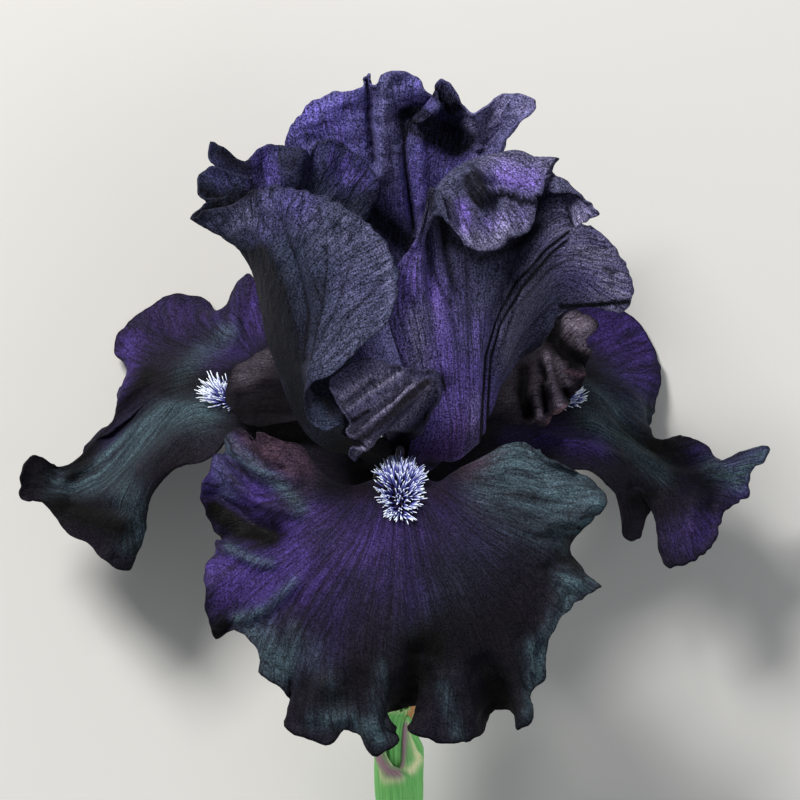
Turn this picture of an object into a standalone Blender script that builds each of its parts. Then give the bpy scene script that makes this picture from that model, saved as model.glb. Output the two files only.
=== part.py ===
"""A bearded iris flower, picked with a short stem, lying on its back on a flat surface.

It rests on its two rear falls and on the cut end of the stem, so its axis rises from the stem
towards the top of the standards. Shapes are given in millimetres from the hub, the point where
all the petals leave the tube: +X right, +Y towards the standards, +Z up from the surface.
"""

import math

import bpy
import numpy as np

MM = 0.001

# The flower's axis, and the tube, ovary, stem and bracts on it, by height along the axis in mm.
AXIS_RISE = math.radians(18)
HUB_HEIGHT = 42.26
HUB_SHIFT = (2.5, 17.7)
TUBE_PROFILE = [(0.0, 0.0), (6.2, 0.0), (5.9, -2.5), (4.2, -9.0), (3.2, -16.0), (3.1, -22.0),
                (3.9, -26.0), (4.9, -32.0), (4.9, -38.0), (4.2, -44.0), (3.4, -48.0), (0.0, -48.0)]
STEM_PROFILE = [(0.0, -48.5), (3.2, -48.5), (3.4, -60.0), (3.5, -88.0), (4.2, -91.5), (4.3, -94.0),
                (3.6, -97.0), (3.5, -110.0), (3.5, -126.0), (0.0, -126.0)]
ROUND_STEPS = 24

PETAL_THICKNESS = 0.8
PETAL_COLUMNS = 29
CLAW_RADIUS = 5.4
CLAW_HALF_ANGLE = 20.0
CLAW_GAP = 0.9
RUFFLE_DEPTH = 2.4
EDGE_SHARE = 0.2

STYLE_THICKNESS = 0.8
STYLE_COLUMNS = 13
STYLE_CLAW_RADIUS = 2.3
STYLE_CLAW_HALF_ANGLE = 32.0

BRACT_THICKNESS = 0.8
BRACT_GAP = 0.5


def place(azimuth, radius, height):
    """The point at this azimuth, radius and height about the flower's own axis. 0 degrees faces up."""
    angle = math.radians(azimuth)
    right = radius * math.sin(angle)
    front = radius * math.cos(angle)
    return np.array([
        right,
        height * math.cos(AXIS_RISE) - front * math.sin(AXIS_RISE),
        height * math.sin(AXIS_RISE) + front * math.cos(AXIS_RISE),
    ])


def tangents(points, first=None):
    """Slopes of a smooth curve through rows of points, per unit of length along it."""
    step = np.linalg.norm(np.diff(points, axis=0), axis=-1, keepdims=True)
    slope = np.diff(points, axis=0) / step
    inner = (slope[1:] * step[:-1] + slope[:-1] * step[1:]) / (step[:-1] + step[1:])
    start = slope[:1] if first is None else first[None]
    return step, np.concatenate([start, inner, slope[-1:]])


def between(points, step, slope, i, t):
    """The curve's points at the fractions t of the way from row i to row i + 1."""
    return (
        (1 + 2 * t) * (1 - t) ** 2 * points[i]
        + t * (1 - t) ** 2 * step[i] * slope[i]
        + t * t * (3 - 2 * t) * points[i + 1]
        + t * t * (t - 1) * step[i] * slope[i + 1]
    )


def curve_through(points, count, apex):
    """Points along a smooth curve through the given ones, evenly spaced on each side of the apex."""
    p = np.array(points, float)
    step, slope = tangents(p)
    fine = 24
    t = np.linspace(0, 1, fine, endpoint=False)[:, None]
    dense = np.vstack([*(between(p, step, slope, i, t) for i in range(len(step))), p[-1:]])
    along = np.concatenate([[0], np.cumsum(np.linalg.norm(np.diff(dense, axis=0), axis=1))])
    half = count // 2 + 1
    middle = along[apex * fine]
    at = np.concatenate([np.linspace(0, middle, half)[:-1], np.linspace(middle, along[-1], half)])
    return np.stack([np.interp(at, along, dense[:, k]) for k in range(3)], axis=1)


def softened(points, reach):
    """The same curve without its ruffles. Its two ends stay where they are."""
    n = len(points)
    before = 2 * points[0] - points[n - 1:0:-1]
    after = 2 * points[-1] - points[n - 2::-1]
    padded = np.vstack([before, points, after])
    offsets = np.arange(-3 * reach, 3 * reach + 1)
    weights = np.exp(-0.5 * (offsets / reach) ** 2)
    weights /= weights.sum()
    shifted = [weights[k] * padded[n - 1 + o:2 * n - 1 + o] for k, o in enumerate(offsets)]
    return np.sum(shifted, axis=0)


def petal_grid(claw, rise, rings, rows, edges, first, apex, second, columns=PETAL_COLUMNS):
    """Rows of points from the claw, through the given rings, out to the ruffled margin.

    The petal's two side edges run from the claw, through the points in edges, to the margin's ends.
    """
    margin = curve_through([*first, apex, *second[::-1]], columns, apex=len(first))
    broad = softened(margin, 1)
    guides = [curve_through(ring, columns, apex=len(ring) // 2) for ring in rings]
    points = np.array([claw, *guides, broad])
    step, slope = tangents(points, np.array(rise, float) + np.zeros_like(claw))
    grid = []
    for i, count in enumerate(rows):
        for t in np.linspace(0, 1, count, endpoint=False):
            row = between(points, step, slope, i, t)
            if i == len(rows) - 1:
                row = row + (margin - broad) * t ** RUFFLE_DEPTH
            grid.append(row)
    grid.append(margin)
    grid = np.array(grid)
    across = np.linspace(0, 1, columns)
    for side, edge, distance in ((0, edges[0], across), (-1, edges[1], 1 - across)):
        path = curve_through([claw[side], *edge, margin[side]], 241, apex=1)
        run = np.concatenate([[0], np.cumsum(np.linalg.norm(np.diff(path, axis=0), axis=1))])
        own = np.concatenate([[0], np.cumsum(np.linalg.norm(np.diff(grid[:, side], axis=0), axis=1))])
        at = own / own[-1] * run[-1]
        target = np.stack([np.interp(at, run, path[:, k]) for k in range(3)], axis=1)
        pull = np.clip(1 - distance / EDGE_SHARE, 0, 1) ** 2
        grid = grid + (target - grid[:, side])[:, None] * pull[None, :, None]
    return grid


def claw_at(azimuth, radius=CLAW_RADIUS, half_angle=CLAW_HALF_ANGLE, columns=PETAL_COLUMNS):
    across = np.linspace(-1, 1, columns)
    return np.array([place(azimuth + c * half_angle, radius, CLAW_GAP) for c in across])


PETALS = {
    "fall_front": dict(
        claw=claw_at(0), rise=place(0, 0.8, 0.6),
        rings=[
            [(-6.5, -3, 14), (0, 1.2, 14.5), (6.5, -3, 14)],
            [(-9, -2, 27), (0, 0, 29), (9, -2, 27)],
            [(-21, 0, 37), (-15, -8, 40), (0, -15, 44), (15, -9, 40), (20, -1, 38)],
            [(-27, 6.5, 36.5), (-32, -12, 36), (-26, -30, 40), (0, -37, 46), (24, -30, 41), (31, -13, 38),
             (28, 4, 35)],
        ],
        rows=[3, 2, 3, 3, 3],
        edges=[
            [(-6.5, -3, 14), (-8.5, -2.5, 27), (-13, -2, 33), (-18, 2, 33), (-20.5, 6, 34), (-25, 7, 36)],
            [(6.5, -3, 14), (8.5, -1.5, 27), (13, 1.5, 32), (20, 5.5, 31.5), (26, 6.8, 32)],
        ],
        first=[
            (-29, 9.3, 36), (-33.5, 9.8, 30), (-38, 3.2, 31), (-42, -4, 34), (-41.3, -9, 30), (-37, -14, 27),
            (-41, -21, 37), (-39.5, -32, 33), (-34.5, -33, 36), (-29.5, -40, 40), (-22.5, -48, 34),
            (-22, -54.5, 41), (-14.5, -56, 44), (-9.5, -53.3, 37), (-5.5, -58, 41), (0.5, -55, 46),
        ],
        apex=(0, -50.5, 36),
        second=[
            (29.5, 5.3, 34), (34, 2, 36), (40.5, 0.3, 31),
            (43.5, -6, 36), (36.8, -13, 31), (38.8, -22.3, 31), (41, -24.2, 35), (33, -30.5, 40),
            (30.2, -42.5, 34), (26.2, -49, 40), (24, -53, 40), (20, -50, 33), (15, -55, 42),
            (5, -54, 42),
        ],
    ),
    "fall_left": dict(
        claw=claw_at(-120), rise=place(-120, 0.8, 0.6),
        rings=[
            [(-8.5, 9, -11), (-11.5, 5, -4.5), (-14, -2.5, 3)],
            [(-20, 17.5, -16.5), (-24, 10.5, -8.5), (-27, 2.5, -0.5)],
            [(-31, 26, -25), (-38, 25, -22), (-43, 17, -17), (-42, 10, -8), (-38, 7.5, -5)],
            [(-30, 35, -33.5), (-46, 33, -36), (-57, 24, -33), (-63, 10, -28), (-72, -3, -20),
             (-67, -7.5, -14), (-60, -12, -9.5), (-56, -7.5, -8), (-50, -0.5, -6.5)],
        ],
        rows=[3, 2, 3, 3, 3],
        edges=[
            [(-8.5, 9, -11), (-20, 17.5, -16.5), (-27, 26, -26), (-28.5, 32, -31)],
            [(-14, -2.5, 3), (-20, -1.5, 2), (-27, 2.5, -0.5), (-32, 5, -1.5), (-38, 5.5, -3), (-42, 2.8, -4), (-47, 1.8, -5.7)],
        ],
        first=[
            (-30, 38, -35), (-32.5, 43, -37), (-36.5, 36, -39), (-42, 37.5, -41.6),
            (-50, 38.3, -41.9), (-58, 32, -40.5), (-61.5, 25, -38), (-57, 19.5, -36), (-60.7, 15, -34),
            (-60, 11, -32), (-67, 6, -30), (-69, 0, -28), (-74, -0.5, -23), (-78, 4, -18),
        ],
        apex=(-80.5, 0.5, -16),
        second=[
            (-52, -2.5, -8), (-54, -6, -9),
            (-54.5, -12.5, -11), (-58, -20.7, -13), (-62, -19, -12), (-66, -15.3, -13),
            (-70.5, -13, -15), (-73, -10, -16), (-77, -6, -17), (-80.5, -5.5, -17),
        ],
    ),
    "fall_right": dict(
        claw=claw_at(120), rise=place(120, 0.8, 0.6),
        rings=[
            [(14, -2.5, 3), (11.5, 5, -4.5), (8.5, 9, -11)],
            [(27, 1, -0.5), (24, 10.5, -8.5), (20, 17.5, -16.5)],
            [(35, 2.5, -3), (38, 7, -7), (40, 13, -14), (38, 21, -22), (33, 26, -27)],
            [(43, 0.3, -5), (49.5, -2, -9), (54, -1, -12), (61, 0.5, -15.5), (55.5, 2.5, -19.5), (51, 17, -31),
             (35.5, 32, -33.5)],
        ],
        rows=[3, 2, 3, 3, 3],
        edges=[
            [(14, -2.5, 3), (20, -1.5, 2), (27, 0.5, -0.5), (34, 0.8, -2.3), (40, 0.8, -4)],
            [(8.5, 9, -11), (20, 17.5, -16.5), (28, 27, -27), (33, 33, -33)],
        ],
        first=[
            (45.5, -3.5, -6), (47.5, -7.5, -7.5), (48.5, -14, -9),
            (51, -12.5, -12), (53.5, -7, -13), (56, -12, -12), (57.2, -19.5, -10), (61.5, -19, -9),
            (66.5, -15, -10), (69.5, -8, -13), (74, -5, -15),
        ],
        apex=(76, 2, -16),
        second=[
            (39, 37, -38), (45, 37, -40.4), (51, 32.5, -41.9), (56, 23, -40.5), (54.5, 14, -36),
            (53.5, 7, -30), (57, 6.5, -25), (61, 8, -22), (66, 5.5, -21), (69.5, 2, -20), (74, 3, -18),
            (77.5, 6, -17),
        ],
    ),
    "standard_left": dict(
        claw=claw_at(-60), rise=place(-60, 0.9, 0.45),
        rings=[
            [(-10, 7.5, 3), (-10.5, 5, 8), (-8.5, 1.5, 12.5)],
            [(-16, 10, 7), (-19, 8.5, 13), (-14, 2.5, 21)],
            [(-16, 28, -1), (-25, 27, 9), (-27, 26, 20), (-22, 25, 31), (-16, 20.5, 37.5)],
            [(-15, 45, -5), (-27, 47, 3), (-32, 45, 17), (-26, 45, 30), (-6, 35, 39)],
        ],
        rows=[3, 2, 3, 3, 3],
        edges=[
            [(-10, 7.5, 3), (-15, 11, 4), (-15, 18, 1), (-15, 30, -3), (-14, 42, -6)],
            [(-8.5, 1.5, 12.5), (-13.5, 3, 21), (-14, 9.5, 29), (-18, 10, 34), (-20, 15, 37),
             (-18, 20.5, 39), (-13, 22.5, 40), (-7, 28, 41)],
        ],
        first=[
            (-11, 49, -7), (-7, 54, -7), (-5, 62, -5), (-10, 68.5, -3),
            (-15, 70.5, -1), (-19, 66, 1), (-24, 69.5, 3), (-31, 68.5, 4), (-34, 65, 6), (-40, 69.5, 8),
            (-36, 63, 10), (-42, 62, 14), (-41, 57.5, 18),
        ],
        apex=(-43.5, 54, 23),
        second=[
            (-3.5, 31.5, 41), (-1, 36, 41), (-0.5, 41, 41), (-2, 47, 40), (-7, 53, 38), (-14, 57.5, 37),
            (-25, 60.5, 34), (-31, 60, 30), (-36, 56.5, 27), (-40.5, 56.3, 25),
        ],
    ),
    "standard_right": dict(
        claw=claw_at(60), rise=place(60, 0.9, 0.45),
        rings=[
            [(8.5, 1.5, 12.5), (10.5, 5, 8), (11, 8, 2.5)],
            [(13, 3, 19), (17, 8, 13), (17, 11, 7)],
            [(2.5, 21, 28), (12, 20, 25), (17.5, 22, 18), (22, 23, 12), (23.5, 22.5, 4)],
            [(0.5, 38, 32), (12, 44, 33), (25, 43, 30), (32, 40, 22), (33, 32.5, 11)],
        ],
        rows=[3, 2, 3, 3, 3],
        edges=[
            [(8.5, 1.5, 12.5), (11, 3.5, 20), (7.5, 9, 25.5), (4, 17, 28), (-0.5, 26, 30), (-3, 33, 32)],
            [(11, 8, 2.5), (16.5, 11.5, 4), (19, 15, 3), (22, 20, 3), (26, 25, 4), (30, 27.5, 7)],
        ],
        first=[
            (-2.5, 41, 33), (2, 48, 34),
            (5, 54, 34), (7, 61, 32), (12, 57, 35), (17, 66, 33), (25, 68.3, 32), (33, 66.8, 33),
            (30.5, 60, 34), (36, 59, 36),
        ],
        apex=(41.5, 55, 37),
        second=[
            (34.5, 33.5, 10), (40, 34.5, 11), (48, 35.5, 10),
            (49.5, 39, 11), (48.5, 43, 13), (45, 48, 17), (40.5, 52, 23), (37, 52, 30),
        ],
    ),
    "standard_back": dict(
        claw=claw_at(180), rise=place(180, 0.9, 0.45),
        rings=[
            [(4.5, 11, -8), (0, 11.3, -9), (-4.5, 11, -8)],
            [(8, 18, -13.5), (0, 19, -16), (-8, 18, -13.5)],
            [(18, 44, -14), (10, 45, -19), (0, 45, -20), (-10, 45, -19), (-18, 44, -14)],
            [(23, 60, -4), (12, 66, -6), (0, 68, -5), (-12, 66, -8), (-24.5, 60, -8.5)],
        ],
        rows=[3, 2, 3, 3, 3],
        edges=[
            [(4.5, 11, -8), (8, 18, -13), (17, 33, -14), (22, 47, -11), (23.5, 56, -6)],
            [(-4.5, 11, -8), (-8, 18, -13), (-17, 33, -14), (-22, 47, -12), (-24.3, 56, -9.5)],
        ],
        first=[
            (21.7, 63.5, 0), (20.5, 68, 6),
            (24, 73, 9), (28.5, 79, 11), (22, 80.3, 9), (18, 78, 6), (13, 78, 9), (9.5, 83, 8),
            (8, 79, 5), (4, 83.5, 5),
        ],
        apex=(0, 85.3, 6),
        second=[
            (-25, 66, -7), (-24, 72, -4),
            (-20, 77.5, 0), (-13, 81, 1), (-8, 82, 4), (-3, 85.5, 5),
        ],
    ),
}

STYLE_ARMS = {
    "style_arm_front": dict(
        claw=claw_at(0, STYLE_CLAW_RADIUS, STYLE_CLAW_HALF_ANGLE, STYLE_COLUMNS),
        rise=place(0, 0.6, 0.8),
        rings=[
            [(-3.5, 8, 20), (0, 10, 21), (3.5, 8, 20)],
            [(-8, 4.5, 30), (-1.5, 9, 31), (5, 10.5, 29.5)],
        ],
        rows=[4, 3, 3],
        edges=[[(-3.5, 8, 20), (-7.5, 4.5, 29)], [(3.5, 8, 20), (5, 9.5, 29)]],
        first=[(-9.5, 4, 33), (-12, 9, 36), (-13, 16, 37)], apex=(-4, 21.5, 37),
        second=[(6, 12, 33), (8, 16.5, 34), (7, 21, 35)],
    ),
    "style_arm_left": dict(
        claw=claw_at(-120, STYLE_CLAW_RADIUS, STYLE_CLAW_HALF_ANGLE, STYLE_COLUMNS),
        rise=place(-120, 0.6, 0.8),
        rings=[
            [(-12.5, 18.8, -7), (-16, 16.2, -2.3), (-15.3, 11.5, 2.6)],
            [(-24, 26.5, -13), (-28, 19, -5), (-27, 10.5, 1.5)],
        ],
        rows=[4, 3, 3],
        edges=[[(-12.5, 18.8, -7), (-24, 26.5, -13)], [(-15, 11.5, 3), (-27, 10.5, 1.5)]],
        first=[(-27, 28, -14), (-31, 26.5, -13), (-35, 23, -10.5)], apex=(-37, 18.5, -7),
        second=[(-30, 10, 1.5), (-33.5, 11.3, 1), (-37, 14, -1.5)],
    ),
    "style_arm_right": dict(
        claw=claw_at(120, STYLE_CLAW_RADIUS, STYLE_CLAW_HALF_ANGLE, STYLE_COLUMNS),
        rise=place(120, 0.6, 0.8),
        rings=[
            [(15.5, 11, 1.5), (16, 16, -2.5), (12.5, 18.8, -7.5)],
            [(26, 11, 1.5), (28, 19.5, -4.5), (25, 27, -12.5)],
        ],
        rows=[4, 3, 3],
        edges=[[(15.5, 11, 1.5), (26, 11, 1.5)], [(12.5, 18.8, -7.5), (25, 27, -12.5)]],
        first=[(28.5, 10.5, 1.5), (32.5, 11.5, 0.7), (36.5, 16, -1)], apex=(38.5, 22, -5),
        second=[(28.5, 30, -14.5), (35, 33.5, -14), (40.5, 30, -10.5)],
    ),
}

# Each beard lies along its fall's midrib, between these two distances from the claw in rows.
BEARD_ROWS = {"front": (3.8, 6.9), "left": (6.3, 8.4), "right": (6.6, 8.5)}
BEARD_HALF_WIDTH = 3.0
BEARD_HEIGHT = 2.4
BEARD_GAP = 0.5

BRACTS = {
    "bract_outer": dict(azimuth=-75, half_angle=82, foot=-88.5, tip=-55.5, radius=4.7),
    "bract_inner": dict(azimuth=100, half_angle=82, foot=-88.5, tip=-51.5, radius=4.7),
}

COLOURS = {
    "fall": ((0.010, 0.005, 0.028), 0.65), "standard": ((0.030, 0.022, 0.075), 0.7),
    "style": ((0.035, 0.015, 0.040), 0.65), "beard": ((0.30, 0.34, 0.72), 0.8),
    "stamen": ((0.55, 0.50, 0.35), 0.6), "perianth": ((0.10, 0.14, 0.05), 0.5),
    "bract": ((0.22, 0.32, 0.10), 0.55), "stem": ((0.16, 0.30, 0.08), 0.45),
}


def unit(vectors):
    return vectors / np.linalg.norm(vectors, axis=-1, keepdims=True)


def new_object(name, points, faces):
    """An object of these points in millimetres from the hub."""
    mesh = bpy.data.meshes.new(name)
    shift = np.array([HUB_SHIFT[0], HUB_SHIFT[1], HUB_HEIGHT])
    mesh.from_pydata(((np.asarray(points) + shift) * MM).tolist(), [], faces)
    mesh.shade_smooth()
    thing = bpy.data.objects.new(name, mesh)
    bpy.context.scene.collection.objects.link(thing)
    colour, roughness = COLOURS[name.split("_")[0]]
    material = bpy.data.materials.new(name)
    material.use_nodes = True
    shader = material.node_tree.nodes["Principled BSDF"]
    shader.inputs["Base Color"].default_value = (*colour, 1)
    shader.inputs["Roughness"].default_value = roughness
    shader.inputs["Metallic"].default_value = 0
    mesh.materials.append(material)
    return thing


def sheet_solid(name, grid, thickness):
    """A thin petal: this grid of points, given a thickness."""
    rows, columns = grid.shape[:2]
    faces = [
        (r * columns + c, (r + 1) * columns + c, (r + 1) * columns + c + 1, r * columns + c + 1)
        for r in range(rows - 1)
        for c in range(columns - 1)
    ]
    petal = new_object(name, grid.reshape(-1, 3), faces)
    skin = petal.modifiers.new("thickness", "SOLIDIFY")
    skin.thickness = thickness * MM
    skin.offset = 0
    return petal


def tube_solid(name, rings):
    """A closed solid of rings of points, with its two ends filled."""
    count, around = len(rings), len(rings[0])
    faces = [
        (i * around + k, i * around + (k + 1) % around, (i + 1) * around + (k + 1) % around,
         (i + 1) * around + k)
        for i in range(count - 1)
        for k in range(around)
    ]
    faces.append(tuple(range(around))[::-1])
    faces.append(tuple((count - 1) * around + k for k in range(around)))
    return new_object(name, np.vstack(rings), faces)


def round_solid(name, profile):
    """The solid of revolution of this (radius, height) profile about the flower's axis."""
    rings = [
        [place(360 * k / ROUND_STEPS, max(radius, 0.4), height) for k in range(ROUND_STEPS)]
        for radius, height in profile[::-1]
    ]
    return tube_solid(name, rings)


def beard_solid(name, grid, start, end):
    """A soft pad along the middle of a fall, on its upper face."""
    middle = grid.shape[1] // 2
    at = np.linspace(start, end, 9)
    rows = np.arange(len(grid))

    def sample(values):
        return np.stack([np.interp(at, rows, values[:, k]) for k in range(3)], axis=1)

    path = sample(grid[:, middle])
    side = unit(sample(grid[:, middle + 1]) - sample(grid[:, middle - 1]))
    ahead = unit(np.gradient(path, axis=0))
    up = unit(np.cross(ahead, side))
    lift = PETAL_THICKNESS / 2 + BEARD_GAP
    rings = []
    for i, f in enumerate(np.linspace(0, 1, len(path))):
        swell = math.sqrt(max(1 - (2 * f - 1) ** 2, 0.04))
        turn = [2 * math.pi * k / 12 for k in range(12)]
        rings.append([
            path[i] + side[i] * BEARD_HALF_WIDTH * swell * math.cos(t)
            + up[i] * (lift + BEARD_HEIGHT / 2 + BEARD_HEIGHT / 2 * swell * math.sin(t))
            for t in turn
        ])
    return tube_solid(name, rings)


def stamen_solid(name, azimuth):
    """A filament from the tube's mouth, with a long anther at its end."""
    stations = [(3.9, 0.65, 0.45), (5.05, 2.6, 0.5), (7.0, 4.5, 0.5), (9.0, 6.3, 0.5), (10.0, 7.0, 0.9),
                (13.0, 9.0, 0.95), (16.0, 10.9, 0.9), (17.0, 11.5, 0.5)]
    spine = np.array([place(azimuth, radius, height) for radius, height, _ in stations])
    side = unit(np.cross(place(azimuth, 0, 1), place(azimuth, 1, 0)))
    ahead = unit(np.gradient(spine, axis=0))
    up = unit(np.cross(side, ahead))
    rings = [
        [spine[i] + station[2] * (side * math.cos(t) - up[i] * math.sin(t))
         for t in (2 * math.pi * k / 8 for k in range(8))]
        for i, station in enumerate(stations)
    ]
    return tube_solid(name, rings)


def bract_grid(azimuth, half_angle, foot, tip, radius):
    """A boat-shaped bract that wraps half of the stem and ends in a point."""
    rows = []
    for t in np.linspace(0, 1, 11):
        height = foot + (tip - foot) * t
        narrow = half_angle * math.sqrt(max(1 - t ** 3, 0.02))
        spread = radius + 0.9 * math.sin(math.pi * min(t * 1.1, 1)) + BRACT_GAP * t
        rows.append([place(azimuth + narrow * c, spread, height) for c in np.linspace(-1, 1, 13)])
    return np.array(rows)


def main():
    for existing in list(bpy.data.objects):
        bpy.data.objects.remove(existing)
    grids = {name: petal_grid(**petal) for name, petal in PETALS.items()}
    for name, grid in grids.items():
        sheet_solid(name, grid, PETAL_THICKNESS)
    for name, arm in STYLE_ARMS.items():
        sheet_solid(name, petal_grid(columns=STYLE_COLUMNS, **arm), STYLE_THICKNESS)
    for side, (start, end) in BEARD_ROWS.items():
        beard_solid("beard_" + side, grids["fall_" + side], start, end)
    for side, azimuth in (("front", 0), ("left", -120), ("right", 120)):
        stamen_solid("stamen_" + side, azimuth)
    for name, bract in BRACTS.items():
        sheet_solid(name, bract_grid(**bract), BRACT_THICKNESS)
    round_solid("perianth_tube", TUBE_PROFILE[1:-1])
    round_solid("stem", STEM_PROFILE[1:-1])


main()
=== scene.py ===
"""A bearded iris flower, picked with a short stem and laid on its back on a pale table.

Petal shapes are given in millimetres from the hub, the point where all the petals leave the
tube: +X right, +Y towards the standards, +Z up from the table. Each petal is a grid whose rows
run from its claw to its ruffled margin and whose columns run from one edge to the other.
"""
import math

import bpy
import numpy as np
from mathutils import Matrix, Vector


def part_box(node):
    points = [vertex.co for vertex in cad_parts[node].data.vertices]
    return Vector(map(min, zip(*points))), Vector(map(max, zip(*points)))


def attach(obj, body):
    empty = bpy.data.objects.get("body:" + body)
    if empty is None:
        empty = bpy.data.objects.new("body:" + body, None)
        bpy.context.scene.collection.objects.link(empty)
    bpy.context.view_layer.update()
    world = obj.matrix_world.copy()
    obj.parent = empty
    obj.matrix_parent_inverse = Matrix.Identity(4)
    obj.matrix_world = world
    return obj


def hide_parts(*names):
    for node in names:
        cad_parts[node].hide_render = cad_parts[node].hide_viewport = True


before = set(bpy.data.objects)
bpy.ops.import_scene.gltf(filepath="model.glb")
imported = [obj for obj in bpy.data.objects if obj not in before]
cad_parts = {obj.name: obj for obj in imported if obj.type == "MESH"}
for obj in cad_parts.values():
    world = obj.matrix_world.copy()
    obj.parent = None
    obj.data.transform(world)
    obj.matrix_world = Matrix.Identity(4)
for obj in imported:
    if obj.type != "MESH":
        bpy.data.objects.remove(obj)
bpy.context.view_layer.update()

MM = 0.001
AXIS_RISE = math.radians(18)
AXIS = (0, math.cos(AXIS_RISE), math.sin(AXIS_RISE))
TUBE_RIM_RADIUS = 6.2
CLAW_GAP = 0.9
PETAL_CLAW = dict(radius=5.4, half_angle=29.0, columns=281)
STYLE_CLAW = dict(radius=2.3, half_angle=32.0, columns=101)
PETAL_THICKNESS = 0.42
STYLE_THICKNESS = 0.5
LEAF_THICKNESS = 0.45
EDGE_SHARE = 0.2
EDGE_POINTS = 241
RUFFLE_GROWTH = 1.7
RUFFLE_START = 0.55
RUFFLE_LENGTH = 7.0
CREPE_LENGTH = 3.4
WRINKLE_LENGTH = 1.7
NOTCH_LENGTH = 2.6
NOTCH_DEPTH = 0.35
SOFT_ACROSS = 0.06
SOFT_ALONG = 0.03
ANYWHERE = (-2, 2, -1, 2)

tube_low, tube_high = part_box("perianth_tube")
HUB = np.array([
    (tube_low[0] + tube_high[0]) / 2 / MM,
    tube_high[1] / MM - TUBE_RIM_RADIUS * math.sin(AXIS_RISE),
    tube_high[2] / MM - TUBE_RIM_RADIUS * math.cos(AXIS_RISE),
])


# ---- shapes in millimetres

def place(azimuth, radius, height):
    """The point at this azimuth, radius and height about the flower's own axis. 0 degrees faces up."""
    angle = math.radians(azimuth)
    front = radius * math.cos(angle)
    return np.array([
        radius * math.sin(angle),
        height * math.cos(AXIS_RISE) - front * math.sin(AXIS_RISE),
        height * math.sin(AXIS_RISE) + front * math.cos(AXIS_RISE),
    ])


def unit(vectors):
    return vectors / np.maximum(np.linalg.norm(vectors, axis=-1, keepdims=True), 1e-9)


def distances_along(path):
    return np.concatenate([[0], np.cumsum(np.linalg.norm(np.diff(path, axis=0), axis=1))])


def points_at(at, along, path):
    """The path's points at these distances along it."""
    return np.stack([np.interp(at, along, column) for column in path.T], axis=1)


def tangents(points, first=None):
    """Slopes of a smooth curve through rows of points, per unit of length along it."""
    step = np.maximum(np.linalg.norm(np.diff(points, axis=0), axis=-1, keepdims=True), 1e-6)
    slope = np.diff(points, axis=0) / step
    inner = (slope[1:] * step[:-1] + slope[:-1] * step[1:]) / (step[:-1] + step[1:])
    start = slope[:1] if first is None else first[None]
    return step, np.concatenate([start, inner, slope[-1:]])


def between(points, step, slope, i, t):
    """The curve's points at the fractions t of the way from row i to row i + 1."""
    return (
        (1 + 2 * t) * (1 - t) ** 2 * points[i]
        + t * (1 - t) ** 2 * step[i] * slope[i]
        + t * t * (3 - 2 * t) * points[i + 1]
        + t * t * (t - 1) * step[i] * slope[i + 1]
    )


def curve_through(points, count, apex):
    """Points along a smooth curve through the given ones, evenly spaced on each side of the apex."""
    p = np.array(points, float)
    step, slope = tangents(p)
    fine = 24
    t = np.linspace(0, 1, fine, endpoint=False)[:, None]
    dense = np.vstack([*(between(p, step, slope, i, t) for i in range(len(step))), p[-1:]])
    along = distances_along(dense)
    half = count // 2 + 1
    middle = along[apex * fine]
    at = np.concatenate([np.linspace(0, middle, half)[:-1], np.linspace(middle, along[-1], half)])
    return points_at(at, along, dense)


def softened(points, reach):
    """The same curve without its ruffles. Its two ends stay where they are."""
    n = len(points)
    padded = np.vstack([2 * points[0] - points[n - 1:0:-1], points, 2 * points[-1] - points[n - 2::-1]])
    offsets = np.arange(-3 * reach, 3 * reach + 1)
    weights = np.exp(-0.5 * (offsets / reach) ** 2)
    weights /= weights.sum()
    return np.sum([w * padded[n - 1 + o:2 * n - 1 + o] for w, o in zip(weights, offsets)], axis=0)


def petal_grid(claw, rise, rings, rows, edges, margin, soften):
    """Rows of points from the claw, through the given rings, out to the ruffled margin.

    The petal's two side edges run from the claw, through the points in edges, to the margin's ends.
    """
    columns = len(claw)
    broad = softened(margin, soften)
    points = np.array([claw, *(curve_through(ring, columns, len(ring) // 2) for ring in rings), broad])
    step, slope = tangents(points, rise + np.zeros_like(claw))
    grid = []
    for i, count in enumerate(rows):
        for t in np.linspace(0, 1, count, endpoint=False):
            row = between(points, step, slope, i, t)
            grid.append(row + (margin - broad) * t ** RUFFLE_GROWTH if i == len(rows) - 1 else row)
    grid = np.array([*grid, margin])
    across = np.linspace(0, 1, columns)
    for side, edge, distance in ((0, edges[0], across), (-1, edges[1], 1 - across)):
        path = curve_through([claw[side], *edge, margin[side]], EDGE_POINTS, 1)
        run, own = distances_along(path), distances_along(grid[:, side])
        target = points_at(own / own[-1] * run[-1], run, path)
        pull = np.clip(1 - distance / EDGE_SHARE, 0, 1) ** 2
        grid = grid + (target - grid[:, side])[:, None] * pull[None, :, None]
    return grid


def claw_at(azimuth, radius, half_angle, columns):
    return np.array([place(azimuth + c * half_angle, radius, CLAW_GAP) for c in np.linspace(-1, 1, columns)])


def grid_normals(grid):
    return unit(np.cross(np.gradient(grid, axis=0), np.gradient(grid, axis=1)))


def waves(points, length, seed, count=14):
    """Smooth, uneven waves of about this length through space, from -1 to 1."""
    random = np.random.default_rng(seed)
    total = 0
    for _ in range(count):
        heading = unit(random.normal(size=3))
        rate = 2 * math.pi / (length * random.uniform(0.7, 1.5))
        total = total + np.sin(points @ heading * rate + random.uniform(0, 2 * math.pi))
    return total / math.sqrt(count) / 1.4


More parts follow.
